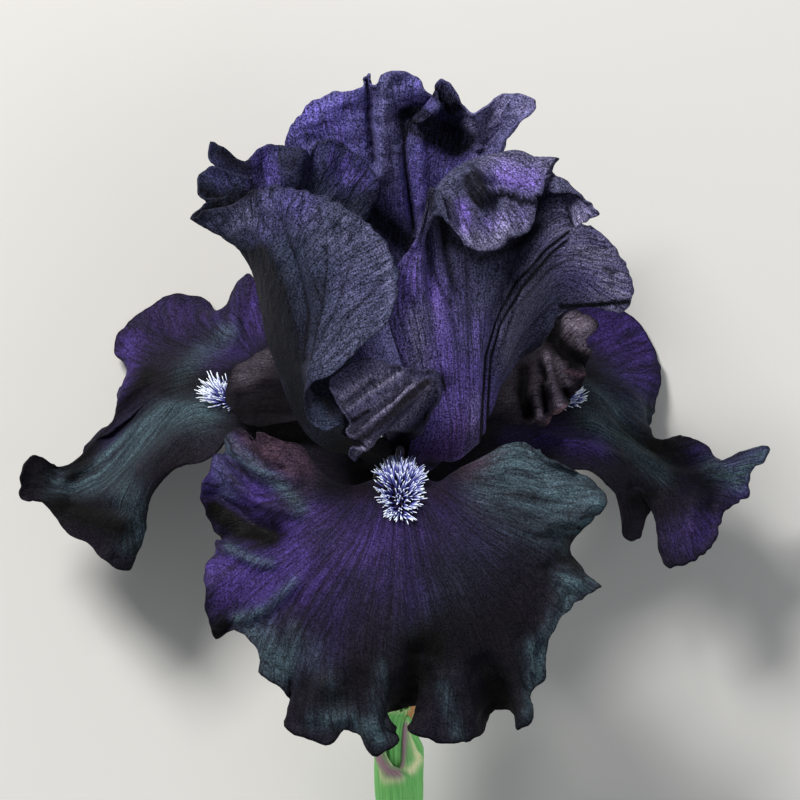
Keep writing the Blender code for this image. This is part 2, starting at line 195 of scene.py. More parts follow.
def part_of(grid, left, right, top, bottom):
    """1 inside this part of a petal, with soft borders: shares across from -1 to 1, along from 0 to 1."""
    across = np.linspace(-1, 1, grid.shape[1])[None, :]
    along = np.linspace(0, 1, grid.shape[0])[:, None]
    inside = np.clip((across - left) / SOFT_ACROSS, 0, 1) * np.clip((right - across) / SOFT_ACROSS, 0, 1)
    return inside * np.clip((along - top) / SOFT_ALONG, 0, 1) * np.clip((bottom - along) / SOFT_ALONG, 0, 1)


def brushed(grid, line, width, strength, where=ANYWHERE):
    """A soft stroke along a line of (x, y) points, seen from above, on one part of a petal."""
    flat = grid[..., :2]
    best = np.full(grid.shape[:-1], 1e9)
    line = np.array(line if len(line) > 1 else [*line, *line], float)
    for a, b in zip(line[:-1], line[1:]):
        ab = b - a
        t = np.clip(((flat - a) @ ab) / max(ab @ ab, 1e-9), 0, 1)
        best = np.minimum(best, np.linalg.norm(flat - a - t[..., None] * ab, axis=-1))
    return strength * np.exp(-(best / width) ** 2) * part_of(grid, *where)


def fold(grid, strokes, side):
    """Raises ridges and sinks hollows along lines: (line, width, height, part of the petal)."""
    push = sum(brushed(grid, *stroke) for stroke in strokes)
    return grid + grid_normals(grid) * side * push[..., None]


def crinkle(grid, side, seed, ruffle, crepe):
    """Adds the small waves of a thin petal, strongest along its margin."""
    rows = np.linspace(0, 1, grid.shape[0])[:, None]
    edge = np.clip((rows - RUFFLE_START) / (1 - RUFFLE_START), 0, 1) ** 2
    push = ruffle * edge * waves(grid, RUFFLE_LENGTH, seed)
    push = push + crepe * (0.35 + 0.65 * edge) * waves(grid, CREPE_LENGTH, seed + 1)
    push = push + 0.35 * crepe * waves(grid, WRINKLE_LENGTH, seed + 2) * np.clip(rows * 3 - 0.9, 0, 1)
    grid = grid + grid_normals(grid) * side * push[..., None]
    notch = waves(grid[-1], NOTCH_LENGTH, seed + 3)[None, :, None]
    notch = notch * np.clip((rows - 0.9) / 0.1, 0, 1)[..., None]
    return grid + unit(grid[-1] - grid[-8])[None] * notch * NOTCH_DEPTH


def tints(grid, violet=(), brown=(), pale=(), black=()):
    """Four masks over a petal from soft strokes: (line, width, strength, part of the petal).

    The pale mask also holds painted highlights and sheen. The last one holds painted shade as well as dark
    pigment.
    """
    empty = np.zeros(grid.shape[:2])
    masks = [empty + sum(brushed(grid, *stroke) for stroke in mask) for mask in (violet, brown, pale, black)]
    return np.clip(np.stack(masks, axis=-1), 0, 1)


# ---- pieces

def finish_piece(piece, node, material):
    piece.data.materials.clear()
    piece.data.materials.append(material)
    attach(piece, "root")
    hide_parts(node)


def only(piece):
    bpy.ops.object.select_all(action="DESELECT")
    piece.select_set(True)
    bpy.context.view_layer.objects.active = piece


def primitive(name, add, **shape):
    """A new primitive at the origin, and its points."""
    bpy.ops.object.select_all(action="DESELECT")
    add(location=(0, 0, 0), **shape)
    piece = bpy.context.object
    piece.name = piece.data.name = name
    points = np.empty(len(piece.data.vertices) * 3, np.float32)
    piece.data.vertices.foreach_get("co", points)
    return piece, points.reshape(-1, 3)


def from_hub(points):
    return (np.array(points) + HUB) * MM


def sheet(name, grid, masks, thickness):
    """A grid primitive moved into this shape, then given its thickness."""
    last_row, last_column = grid.shape[0] - 1, grid.shape[1] - 1
    piece, flat = primitive(
        name, bpy.ops.mesh.primitive_grid_add, x_subdivisions=last_column, y_subdivisions=last_row, size=1)
    column = np.rint((flat[:, 0] + 0.5) * last_column).astype(int)
    row = np.rint((flat[:, 1] + 0.5) * last_row).astype(int)
    mesh = piece.data
    mesh.vertices.foreach_set("co", from_hub(grid[row, column]).astype(np.float32).ravel())
    # The pale channel also holds painted highlights, and the depth below holds painted shade as well as dark
    # pigment.
    layer = mesh.color_attributes.new("bloom_and_highlight", "FLOAT_COLOR", "POINT")
    layer.data.foreach_set("color", masks[row, column].astype(np.float32).ravel())
    layer = mesh.attributes.new("depth_of_dye_and_shade", "FLOAT", "POINT")
    layer.data.foreach_set("value", masks[row, column, 3].astype(np.float32))
    mesh.update()
    skin = piece.modifiers.new("thickness", "SOLIDIFY")
    skin.thickness = thickness * MM
    skin.offset = 0
    only(piece)
    bpy.ops.object.modifier_apply(modifier=skin.name)
    bpy.ops.object.shade_smooth()
    return piece


# ---- materials

def fill(tree, node, inputs):
    """Sets each input to its number, colour or vector, or links it when given another node's output."""
    for label, value in inputs.items():
        socket = node.inputs[label]
        if isinstance(value, bpy.types.NodeSocket):
            tree.links.new(value, socket)
        elif value is not None:
            socket.default_value = (*value, 1) if socket.type == "RGBA" else value


def add_node(tree, kind, inputs, **settings):
    node = tree.nodes.new("ShaderNode" + kind)
    for label, value in settings.items():
        setattr(node, label, value)
    fill(tree, node, inputs)
    return node


def new_material(name):
    material = bpy.data.materials.new(name)
    material.use_nodes = True
    return material, material.node_tree, material.node_tree.nodes["Principled BSDF"]


def group(name, given, build):
    """A node group with one vector input and the value outputs that build returns."""
    tree = bpy.data.node_groups.new(name, "ShaderNodeTree")
    tree.interface.new_socket(given, in_out="INPUT", socket_type="NodeSocketVector")
    results = build(tree, tree.nodes.new("NodeGroupInput").outputs[given])
    for label in results:
        tree.interface.new_socket(label, in_out="OUTPUT", socket_type="NodeSocketFloat")
    fill(tree, tree.nodes.new("NodeGroupOutput"), results)
    return tree


def math_node(tree, operation, a, b=None, clamp=False):
    return add_node(tree, "Math", {0: a, 1: b}, operation=operation, use_clamp=clamp).outputs[0]


def times(tree, a, b, clamp=False):
    return math_node(tree, "MULTIPLY", a, b, clamp)


def map_range(tree, value, low, high, to_low=0.0, to_high=1.0):
    return add_node(tree, "MapRange", {
        "Value": value, "From Min": low, "From Max": high, "To Min": to_low, "To Max": to_high,
    }, interpolation_type="SMOOTHSTEP").outputs["Result"]


def noise(tree, vector, scale, detail, roughness=0.55, distortion=0.0):
    return add_node(tree, "TexNoise", {
        "Vector": vector, "Scale": scale, "Detail": detail, "Roughness": roughness, "Distortion": distortion,
    }).outputs["Fac"]


def mix(tree, factor, a, b):
    return add_node(tree, "Mix", {"Factor": factor, 6: a, 7: b}, data_type="RGBA").outputs[2]


def stretched(tree, vector, scale):
    return add_node(tree, "Mapping", {"Scale": scale, "Vector": vector}).outputs["Vector"]


def relief(tree, height, depth):
    return add_node(tree, "Bump", {"Distance": depth * MM, "Height": height}).outputs["Normal"]


def thin_lines(tree, vector, scale, wander, width):
    """Lines where a stretched noise crosses its middle value."""
    value = noise(tree, stretched(tree, vector, scale), 1.0, 2.0, 0.5, wander)
    value = math_node(tree, "ABSOLUTE", math_node(tree, "SUBTRACT", value, 0.5))
    return map_range(tree, value, 0.0, width, 1.0, 0.0)


def vein_values(tree, uv):
    """Veins that radiate from the claw to the margin, finer ones between, and short links across."""
    veins = thin_lines(tree, uv, (46, 3.2, 1), 0.25, 0.03)
    fine = thin_lines(tree, uv, (110, 6, 1), 0.35, 0.04)
    finest = thin_lines(tree, uv, (240, 11, 1), 0.5, 0.05)
    veins = math_node(tree, "MAXIMUM", veins, times(tree, fine, 0.7))
    height = add_node(tree, "SeparateXYZ", {0: uv}).outputs["Y"]
    return {
        "Veins": math_node(tree, "MAXIMUM", veins, times(tree, finest, 0.4)),
        "Streaks": noise(tree, stretched(tree, uv, (90, 4, 1)), 1.0, 3.0, 0.6, 0.2),
        "Net": thin_lines(tree, uv, (80, 40, 1), 0.8, 0.05),
        "Rim": map_range(tree, height, 0.984, 0.998),
    }


def grain_values(tree, spot):
    """The tiny glistening cells of a petal's skin, and slower mottling."""
    cells = noise(tree, spot, 2600, 2.0, 0.7)
    mottle = noise(tree, spot, 130, 4.0, 0.6)
    return {"Cells": cells, "Sparkle": map_range(tree, cells, 0.56, 0.72), "Mottle": mottle}


VEINS = group("petal veins", "UV", vein_values)
GRAIN = group("petal grain", "Object", grain_values)


def painted(tree):
    """The red, green and blue masks painted on a piece, and its depth of dark pigment and painted shade."""
    colour = add_node(tree, "Attribute", {}, attribute_name="bloom_and_highlight").outputs["Color"]
    dye_and_shade = add_node(tree, "Attribute", {}, attribute_name="depth_of_dye_and_shade").outputs["Fac"]
    return [*add_node(tree, "SeparateColor", {"Color": colour}).outputs, dye_and_shade]


def petal_material(name, dark, bright, brown, bloom_and_highlight, black, sheen_tint, vein_depth, sparkle, roughness,
                   bump_depth):
    """Petal skin. The masks give where it is bright violet, brown, pale, or darkest.

    The pale colour is partly the skin's own greyish coat and partly painted highlights and sheen.
    The darkest colour is partly dark pigment and partly painted shade.
    """
    material, tree, shader = new_material(name)
    spots = add_node(tree, "TexCoord", {}).outputs
    veins = add_node(tree, "Group", {"UV": spots["UV"]}, node_tree=VEINS).outputs
    grain = add_node(tree, "Group", {"Object": spots["Object"]}, node_tree=GRAIN).outputs
    violet_mask, brown_mask, pale_and_highlight_mask, dye_and_shade = painted(tree)
    mottle = map_range(tree, grain["Mottle"], 0.3, 0.7, 0.6, 1.25)
    streak = map_range(tree, veins["Streaks"], 0.32, 0.68, 0.40, 1.45)
    colour = mix(tree, times(tree, times(tree, violet_mask, mottle), streak, clamp=True), dark, bright)
    colour = mix(tree, times(tree, brown_mask, mottle, clamp=True), colour, brown)
    # The pale colour: partly the skin's own greyish tone, partly painted highlights and sheen on ridges and
    # lit lobes.
    colour = mix(tree, times(tree, pale_and_highlight_mask, streak, clamp=True), colour, bloom_and_highlight)
    # The darkest colour: partly dark pigment, partly painted shade in hollows, creases, gaps and under folds.
    colour = mix(tree, times(tree, dye_and_shade, 1.15, clamp=True), colour, black)
    shaded = math_node(
        tree, "MAXIMUM", times(tree, veins["Veins"], vein_depth), times(tree, veins["Net"], vein_depth * 0.6))
    shaded = math_node(tree, "MAXIMUM", shaded, times(tree, veins["Rim"], 0.6))
    colour = mix(tree, shaded, colour, tuple(c * 0.35 for c in dark))
    cells = map_range(tree, grain["Cells"], 0.3, 0.7, 1 - sparkle, 1 + sparkle)
    height = math_node(tree, "SUBTRACT", times(tree, grain["Cells"], 0.5), times(tree, veins["Veins"], 0.6))
    height = math_node(tree, "SUBTRACT", height, times(tree, veins["Net"], 0.3))
    height = math_node(tree, "ADD", height, times(tree, veins["Streaks"], 1.2))
    fill(tree, shader, {
        "Base Color": add_node(tree, "VectorMath", {0: colour, "Scale": cells}, operation="SCALE").outputs[0],
        "Roughness": map_range(tree, grain["Sparkle"], 0, 1, roughness, roughness - 0.22),
        "Sheen Weight": 0.012, "Sheen Roughness": 0.35, "Sheen Tint": sheen_tint, "Specular IOR Level": 0.05,
        "Normal": relief(tree, height, bump_depth),
    })
    return material


# The fall's pale colour is a teal grey that paints the velvet's sheen.
FALL_SKIN = petal_material(
    "fall velvet", dark=(0.009, 0.0075, 0.013), bright=(0.04, 0.024, 0.125), brown=(0.052, 0.029, 0.045),
    bloom_and_highlight=(0.052, 0.084, 0.104), black=(0.0025, 0.0023, 0.002), sheen_tint=(0.45, 0.6, 0.75),
    vein_depth=0.7, sparkle=0.6, roughness=0.6, bump_depth=0.12)
# The standards share one satin, copied lighter for the back one, which lies in the shade of other petals, and
# darker for the left one: painted light and painted shade. The right one's pale colour is raised as painted
# light on its lobe.
SATIN = dict(
    black=(0.004, 0.0036, 0.005), sheen_tint=(0.6, 0.65, 0.9), sparkle=0.9, roughness=0.58, bump_depth=0.17)
LEFT_SKIN = petal_material(
    "left standard satin", dark=(0.022, 0.027, 0.052), bright=(0.075, 0.055, 0.26), brown=(0.06, 0.035, 0.075),
    bloom_and_highlight=(0.095, 0.095, 0.18), vein_depth=0.9, **SATIN)
RIGHT_SKIN = petal_material(
    "right standard satin", dark=(0.045, 0.047, 0.092), bright=(0.125, 0.085, 0.34), brown=(0.17, 0.04, 0.23),
    bloom_and_highlight=(0.29, 0.27, 0.44), vein_depth=0.9, **SATIN)
BACK_SKIN = petal_material(
    "back standard satin", dark=(0.095, 0.094, 0.225), bright=(0.15, 0.125, 0.48), brown=(0.06, 0.035, 0.075),
    bloom_and_highlight=(0.2, 0.19, 0.36), vein_depth=0.85, **SATIN)
CREST_SKIN = petal_material(
    "crest satin", dark=(0.044, 0.042, 0.088), bright=(0.09, 0.06, 0.2), brown=(0.06, 0.03, 0.045),
    bloom_and_highlight=(0.22, 0.2, 0.31), black=(0.004, 0.003, 0.004), sheen_tint=(0.6, 0.6, 0.8),
    vein_depth=0.7, sparkle=0.8, roughness=0.58, bump_depth=0.16)
STYLE_SKIN = petal_material(
    "style arm satin", dark=(0.0085, 0.0065, 0.011), bright=(0.075, 0.055, 0.14), brown=(0.19, 0.1, 0.12),
    bloom_and_highlight=(0.17, 0.14, 0.19), black=(0.003, 0.0025, 0.003), sheen_tint=(0.6, 0.6, 0.8),
    vein_depth=0.6, sparkle=0.6, roughness=0.6, bump_depth=0.14)


# ---- petals

petal_rows = {}


def petal(node, suffix, skin, slot, azimuth, side, seed, ruffle, crepe, rise, rows, rings, edges, first, apex,
          second, strokes, claw=PETAL_CLAW, soften=6, thickness=PETAL_THICKNESS, **masks):
    """One petal, whose margin runs along first, over the apex and back along second.

    Side 1 or -1 says which face its ridges rise from.
    """
    claw = claw_at(azimuth, **claw)
    margin = curve_through([*first, apex, *second[::-1]], len(claw), len(first))
    grid = petal_grid(claw, place(azimuth, *rise), rings, rows, edges, margin, soften)
    grid = crinkle(fold(grid, strokes, side), side, seed, ruffle, crepe)
    petal_rows[node] = grid
    finish_piece(sheet(node + suffix, grid, tints(grid, **masks), thickness), node, skin)


FALL = dict(
    suffix="_petal", skin=FALL_SKIN, slot="fall_petal", side=1, ruffle=0.55, rise=(0.8, 0.6),
    rows=[16, 12, 24, 32, 32])
STANDARD = dict(suffix="_petal", slot="standard_petal", ruffle=0.6, crepe=0.24, rise=(0.9, 0.45))
STYLE_ARM = dict(
    suffix="_crest", slot="style_petal", side=1, rise=(0.6, 0.8), claw=STYLE_CLAW, soften=2,
    thickness=STYLE_THICKNESS)

# Parts of a standard, as shares of the way across from -1 to 1 and along from 0 to 1.
FLAP = (-1.15, 0.62, 0.74, 2)
BELOW_FLAP = (-2, 2, 0, 0.72)
RIB_PART = (-2, 2, 0, 0.8)
FACE = (0.1, 2, 0.3, 2)
MID_FACE = (0.1, 2, 0.4, 2)
UPPER_FACE = (0.1, 2, 0.5, 2)
RIGHT_RIB_INNER = [(16.8, 6), (17.2, 15), (17.9, 25), (20.1, 32.2), (24.5, 40.4), (30.6, 47.4), (35.6, 51.4)]
RIGHT_RIB_OUTER = [(18, 6), (18.4, 15), (19, 25), (21.2, 31.8), (25.6, 39.6), (31.5, 46.6), (36.5, 50.6)]

petal(
    "fall_front", **FALL, azimuth=0, seed=11, crepe=0.2,
    rings=[
        [(-6.5, -3, 14), (0, 1.2, 14.5), (6.5, -3, 14)], [(-9, -2, 27), (0, 0, 29), (9, -2, 27)],
        [(-21, 0, 37), (-15, -8, 40), (0, -15, 44), (15, -9, 40), (20, -1, 38)],
        [(-27, 6.5, 36.5), (-32, -12, 36), (-26, -30, 40), (0, -37, 46), (24, -30, 41), (31, -13, 38),
         (28, 4, 35)],
    ],
    edges=[
        [(-6.5, -3, 14), (-8.5, -2.5, 27), (-13, -2, 32.5), (-16.5, 0.5, 33), (-18.5, 3, 33.5),
         (-20.5, 6, 34), (-25.5, 7.5, 35.5)],
        [(6.5, -3, 14), (8.5, -1.5, 27), (13, 1.5, 31.5), (18, 4, 31.5), (22, 6.2, 31.2), (26, 6.8, 32)],
    ],
    first=[
        (-28, 9.5, 36.5), (-29.5, 9.3, 34.5), (-30.5, 7.6, 32.5), (-33, 9.7, 31), (-36, 7, 30),
        (-38, 3.5, 31), (-40, 1, 33), (-41.5, -2, 34), (-42, -5, 34), (-41, -8, 32), (-39.5, -11, 30),
        (-37, -14, 28), (-38, -15.5, 30), (-41, -21, 36), (-41, -24, 37), (-40, -31, 35), (-38.5, -34.3, 32),
        (-35, -32.5, 35), (-33, -33.5, 36), (-30, -36, 38), (-29.5, -41, 40), (-25, -44.5, 38),
        (-22.5, -48, 36), (-24, -52.5, 38), (-20, -54.8, 40), (-15, -56.3, 41), (-11.5, -53.2, 40),
        (-8, -54, 40), (-5.5, -58.5, 41), (-2.5, -57.2, 42), (0, -55.3, 42), (-1.5, -52, 40),
        (-2.5, -50.3, 38),
    ],
    apex=(0.5, -50.3, 37),
    second=[
        (29, 5, 33.5), (33.5, 2, 36), (38.5, 0, 33), (42.8, -3.5, 34), (43.3, -6, 36), (40, -10, 35),
        (36.5, -14, 32), (38, -20, 31), (41.7, -23.5, 34), (38.5, -25.5, 37), (33.5, -30, 39),
        (30.5, -37, 38), (30, -42.8, 36), (27.5, -44.5, 36), (26.2, -46.5, 38), (27, -52, 40),
        (24.5, -53.5, 39), (24, -50, 37), (20.5, -50.3, 36), (17, -54.2, 38), (15, -55.2, 40), (9, -56, 41),
        (6, -55, 41), (1, -52.3, 40), (3.5, -48.5, 38),
    ],
    strokes=[
        ([(-36, 8), (-32, 4), (-27, 0), (-22, -1)], 1.6, 1.7), ([(-33, 8), (-29, 3), (-25, 1)], 1, -1.2),
        ([(-28, 9), (-25.5, 4), (-22, 1)], 1.3, 0.9),
        ([(-38, 3), (-33, -3), (-28, -6.5), (-22, -8)], 1.2, 1.5),
        ([(-37, 5), (-33, 0), (-28, -4)], 1.1, -1.4), ([(-39, -5), (-33, -9.5), (-27, -12)], 3, -3.6),
        ([(-38, -15), (-34, -16.5), (-29, -18.5), (-26, -18.5)], 1.2, 1.7),
        ([(-38, -31), (-31, -29), (-26, -26), (-21.5, -22)], 1.3, 1.1),
        ([(-33, -33), (-27, -30), (-22, -26)], 1.6, -0.8), ([(-24, -46), (-22.5, -38), (-22, -32)], 1.2, 0.9),
        ([(-19, -50), (-16.5, -44)], 1.8, 0.9), ([(-13, -50.5), (-9, -49), (-6, -52)], 2, 1),
        ([(-4.5, -56), (-4.5, -49), (-4, -42)], 1.3, 0.9), ([(0, -50), (2.5, -44), (4, -38)], 3, -2.2),
        ([(12, -54), (10.5, -48), (9, -42)], 1.5, 1), ([(8, -52), (7, -46), (6, -41)], 0.9, -0.7),
        ([(15.5, -53), (14, -47), (12, -42)], 1.3, 0.9), ([(20.5, -50), (20, -45), (18, -40)], 3, -2),
        ([(26, -50), (27, -42), (27.5, -35)], 1.4, 0.9), ([(42, -6), (36, -9), (30, -11)], 1.2, 1),
        ([(41, -9), (35, -12.5), (29, -13)], 1, -0.9), ([(38, -2), (31, -4), (24, -4)], 1.3, 0.8),
        ([(34, 1), (28, -0.5), (22, -0.5)], 1, -0.6), ([(41, -24), (35, -22.5), (30, -21)], 1.1, 1),
        ([(36.5, -15), (34, -18), (31, -20)], 1.7, -1.4), ([(37, -20), (33, -26), (30, -33)], 1.3, 0.7),
        ([(25, 5), (20, 2), (14, -1)], 2, 0.8), ([(-1.2, -12), (-2, -30)], 0.5, -0.25),
        ([(1.8, -12), (4, -30)], 0.5, -0.25), ([(0.3, -11), (1, -34)], 0.8, 0.25),
    ],
    violet=[
        ([(-8, -14), (-16, -18), (-24, -16)], 8.5, 0.5), ([(-30, -3), (-39, -1)], 6, 1),
        ([(-22, -10), (-18, -8)], 3, 0.4), ([(-38, -20), (-30, -24), (-24, -20)], 6.5, 0.9),
        ([(0, -10), (2, -24)], 7, 0.3), ([(-14, -30), (-18, -38)], 5, 0.2), ([(10, -8), (16, -14)], 7, 0.2),
        ([(-34, 5), (-37, 2)], 3, 0.4),
    ],
    brown=[
        ([(-27, 8), (-22, 3)], 4.5, 0.8), ([(-33, 6), (-29, 4)], 3, 0.35), ([(13, 1), (21, 4)], 2.2, 0.45),
        ([(-10, -3), (8, -3)], 2.5, 0.15),
    ],
    # Pale strokes here are painted sheen and highlights on the lit ridges and the right shoulder.
    pale=[
        ([(-38, 3), (-36, -3)], 2.5, 0.35), ([(24, 3), (38, -5), (40, -8)], 6, 0.75),
        ([(18, -4), (30, -11), (36, -16)], 4.5, 0.28), ([(4, -36), (10, -22), (20, -14)], 5, 0.1),
        ([(-37, 7), (-31, 2), (-24, -3), (-21, -7)], 1.5, 0.6),
        ([(-36, -15), (-30, -18), (-27, -18.5)], 1, 0.6), ([(-34, -30), (-28, -28), (-22, -22)], 1, 0.5),
        ([(-30, -33), (-26, -40)], 4, 0.5), ([(-19, -36), (-14, -46)], 3, 0.25),
        ([(-22, -32), (-24, -42)], 1.5, 0.3), ([(-18, -51), (-10, -51), (-4, -55)], 2, 0.5),
        ([(-4, -40), (-4.5, -54)], 1.7, 0.35), ([(9, -44), (12, -54)], 1.6, 0.4),
        ([(27, -36), (27, -50)], 1.8, 0.55), ([(40, -23), (34, -22)], 1.8, 0.5),
        ([(36, -24), (31, -34), (29, -41)], 2, 0.5),
    ],
    # Dark strokes here are painted shade in the hollows and folds, over the fall's own dark velvet.
    black=[
        ([(-39, -7), (-33, -11.5), (-27, -13)], 2.8, 1.05), ([(-8, -41), (-13, -46), (-19, -44)], 4, 0.55),
        ([(2, -35), (8, -30)], 4.5, 0.4), ([(-15, -2.5), (-3, -3.5)], 2.5, 0.6),
        ([(0, -49), (3, -44), (5, -38)], 4.2, 0.95), ([(21, -48), (20, -42)], 4.5, 1),
        ([(10, -34), (22, -32)], 5, 0.45), ([(36, -14), (37, -19)], 1.7, 0.8),
        ([(-36, 4), (-31, -1)], 1, 0.45), ([(-31, 6), (-27.5, 2)], 0.9, 0.5), ([(6, 0), (12, 2)], 1.3, 0.5),
        ([(-38.5, -33), (-37, -31)], 1.5, 0.9), ([(12, -20), (26, -22)], 8, 0.25),
    ])
petal(
    "fall_left", **FALL, azimuth=-120, seed=23, crepe=0.18,
    rings=[
        [(-8.5, 9, -11), (-11.5, 5, -4.5), (-12, -3.4, 2.5)],
        [(-20, 17.5, -16.5), (-24, 10.5, -8.5), (-27, 2.5, -0.5)],
        [(-31, 26, -25), (-38, 25, -22), (-43, 17, -17), (-42, 10, -8), (-38, 7.5, -5)],
        [(-30, 35, -33.5), (-46, 33, -36), (-57, 24, -33), (-63, 10, -28), (-72, -3, -20),
         (-67, -7.5, -14), (-60, -12, -9.5), (-56, -7.5, -8), (-50, -0.5, -6.5)],
    ],
    edges=[
        [(-8.5, 9, -11), (-20, 17.5, -16.5), (-27, 26, -26), (-28.5, 32, -31)],
        [(-7, -3.2, 3), (-14, -3.6, 3), (-20, -1.5, 2), (-27, 2.5, -0.5), (-32, 6, -1.5), (-37, 7, -2.5),
         (-38.5, 5, -3), (-42, 2.6, -4), (-47, 1.8, -5.7)],
    ],
    first=[
        (-29.7, 38, -34.5), (-31, 41, -36), (-32.5, 43, -37), (-34, 40, -38), (-36.5, 38, -38.5),
        (-36.5, 35, -39), (-39, 34.5, -40), (-42, 37.5, -41.4), (-46, 38.7, -41.6), (-50, 38.3, -41.6),
        (-54, 36, -41), (-57.5, 33, -40.5), (-61, 29, -39.5), (-61.5, 25.5, -38.5), (-59, 24, -37.5),
        (-57, 20, -36), (-60, 18.5, -35), (-60.7, 16, -34), (-59.5, 12, -33), (-63, 10.3, -31.5),
        (-67, 6, -30), (-68.3, 0.5, -28), (-69, -1, -25), (-73.5, -1, -22), (-75, 2, -20), (-78, 4, -18),
    ],
    apex=(-80.5, 0.5, -16),
    second=[
        (-51.8, -2.5, -8), (-54, -6, -9), (-54.3, -12.5, -11), (-56, -17, -12.5), (-58, -20.7, -13),
        (-62, -19, -12), (-66, -15.3, -13), (-70.5, -13, -15), (-73, -10, -16), (-77, -5.8, -17),
        (-80.5, -5.5, -17),
    ],
    strokes=[
        ([(-42, 14), (-50, 14.5), (-57, 9), (-64, 3), (-72, -1.5)], 1.3, 1.3),
        ([(-50, 10), (-57, 4), (-64, -1)], 1.2, -0.8), ([(-46, 8), (-53, 3), (-60, -5)], 1.2, 0.7),
        ([(-52, 22), (-58, 15), (-62, 9)], 2.4, -1.6), ([(-50, 31), (-42, 28), (-36, 26)], 2.5, -1),
        ([(-34, 40), (-35, 32), (-36, 27)], 1.6, 1.2), ([(-58, -8), (-63, -7), (-70, -6)], 1.6, -1.2),
    ],
    violet=[
        ([(-40, 32), (-50, 34), (-56, 30)], 6, 0.3), ([(-31, 40), (-32, 32)], 3.5, 0.8),
        ([(-58, 26), (-60, 16), (-64, 7)], 3, 0.7), ([(-40, 24), (-34, 26)], 3, 0.4),
    ],
    # Painted highlight and sheen along the lit ridge and on the lobes.
    pale=[
        ([(-41, 13), (-50, 12), (-58, 5), (-66, -1), (-72, -3)], 3.4, 0.65),
        ([(-42, 14), (-50, 14.5), (-57, 9), (-64, 3)], 0.8, 0.5), ([(-58, -4), (-56, -14)], 3.5, 0.55),
        ([(-47, 20), (-42, 26), (-37, 30)], 2.4, 0.4),
    ],
    # Painted shade on the drooping band, in the hollows and on the haft.
    black=[
        ([(-54, 21), (-59, 15), (-64, 8), (-70, 0)], 2.2, 0.8),
        ([(-60, -11), (-66, -9), (-73, -7)], 3.4, 0.95), ([(-76, 2), (-79, -2)], 3, 0.6),
        ([(-42, 20), (-50, 19)], 2.5, 0.5), ([(-28, 6), (-34, 6)], 2.5, 0.7),
        ([(-30, 24), (-36, 21)], 3, 0.6), ([(-45, 4), (-51, 0)], 1.5, 0.4),
    ])
petal(
    "fall_right", **FALL, azimuth=120, seed=37, crepe=0.18,
    rings=[
        [(12, -3.4, 2.5), (11.5, 5, -4.5), (8.5, 9, -11)],
        [(27, 1, -0.5), (24, 10.5, -8.5), (20, 17.5, -16.5)],
        [(35, 2.5, -3), (38, 7, -7), (40, 13, -14), (38, 21, -22), (33, 26, -27)],
        [(43, 0.3, -5), (49.5, -2, -9), (54, -1, -12), (61, 0.5, -15.5), (55.5, 2.5, -19.5), (51, 17, -31),
         (35.5, 32, -33.5)],
    ],
    edges=[
        [(7, -3.2, 3), (14, -3.6, 3), (20, -1.5, 2), (27, 0.5, -0.5), (34, 0.8, -2.3), (40, 0.8, -4)],
        [(8.5, 9, -11), (20, 17.5, -16.5), (28, 27, -27), (33, 33, -33)],
    ],
    first=[
        (45.3, -3.3, -6), (47.2, -6, -7), (48, -14.2, -9), (50, -14, -11), (52.5, -9.5, -13), (54, -7, -13),
        (56, -12, -12), (57.2, -19.8, -10), (61.5, -19, -9), (66.5, -15, -10), (69.5, -8, -13), (72, -6, -14),
        (74, -5, -15), (75.5, 1.5, -16), (78, 2.5, -16.5),
    ],
    apex=(78, 6, -17),
    second=[
        (39, 37, -38), (42, 37, -39), (48, 35, -41), (52, 31, -41.6), (55.5, 25, -41), (56, 21, -40),
        (55.5, 17, -38), (54, 12, -36), (51.5, 8, -32), (53.5, 5.5, -28), (57, 4.9, -26), (58.5, 7.3, -25),
        (60, 8, -24), (63, 7, -23), (66, 5, -22), (68, 2, -21), (71, 2.2, -19.5), (75, 3.3, -18),
        (77, 6, -17.3),
    ],
    strokes=[
        ([(30, 8), (40, 6), (48, 3)], 1, 0.7), ([(28, 5), (38, 4)], 0.8, -0.5),
        ([(40, 11), (48, 7), (54, 2)], 1.2, 0.9), ([(37, 20), (45, 14), (52, 9)], 1.4, 1),
        ([(44, 10), (51, 5)], 1.2, -0.9), ([(58, 6), (63, 5), (67, 2), (69, -4)], 1.4, 1.1),
        ([(50, -3), (54, -4)], 1.8, -1.3), ([(62, -15), (63, -6)], 1.6, 0.8),
        ([(66, -13), (67, -6)], 1.3, -0.7),
    ],
    violet=[
        ([(48, 33), (53, 26), (50, 20)], 6, 0.8), ([(40, 34), (46, 30)], 5, 0.7),
        ([(64, 2), (73, -2), (77, 4)], 4, 1), ([(60, -14), (66, -10)], 4, 0.45),
        ([(24, 8), (34, 8), (42, 6)], 3, 0.75),
    ],
    # Painted highlight and sheen on the lit lobes.
    pale=[
        ([(66, 1), (72, -1), (77, 4)], 2.8, 0.9), ([(40, 12), (48, 8), (56, 1)], 2.8, 0.8),
        ([(44, 18), (52, 13)], 3, 0.45), ([(38, 20), (46, 14)], 1.6, 0.4),
    ],
    # Painted shade under the dark dome, in the folds and on the haft.
    black=[
        ([(57, 5), (61, 1), (66, -3)], 4.2, 0.8), ([(50, -6), (53, -5)], 2.2, 0.8),
        ([(48, 9), (54, 6)], 2, 0.6), ([(22, 4), (32, 4)], 1.8, 0.6), ([(40, 22), (48, 18)], 3, 0.4),
    ])
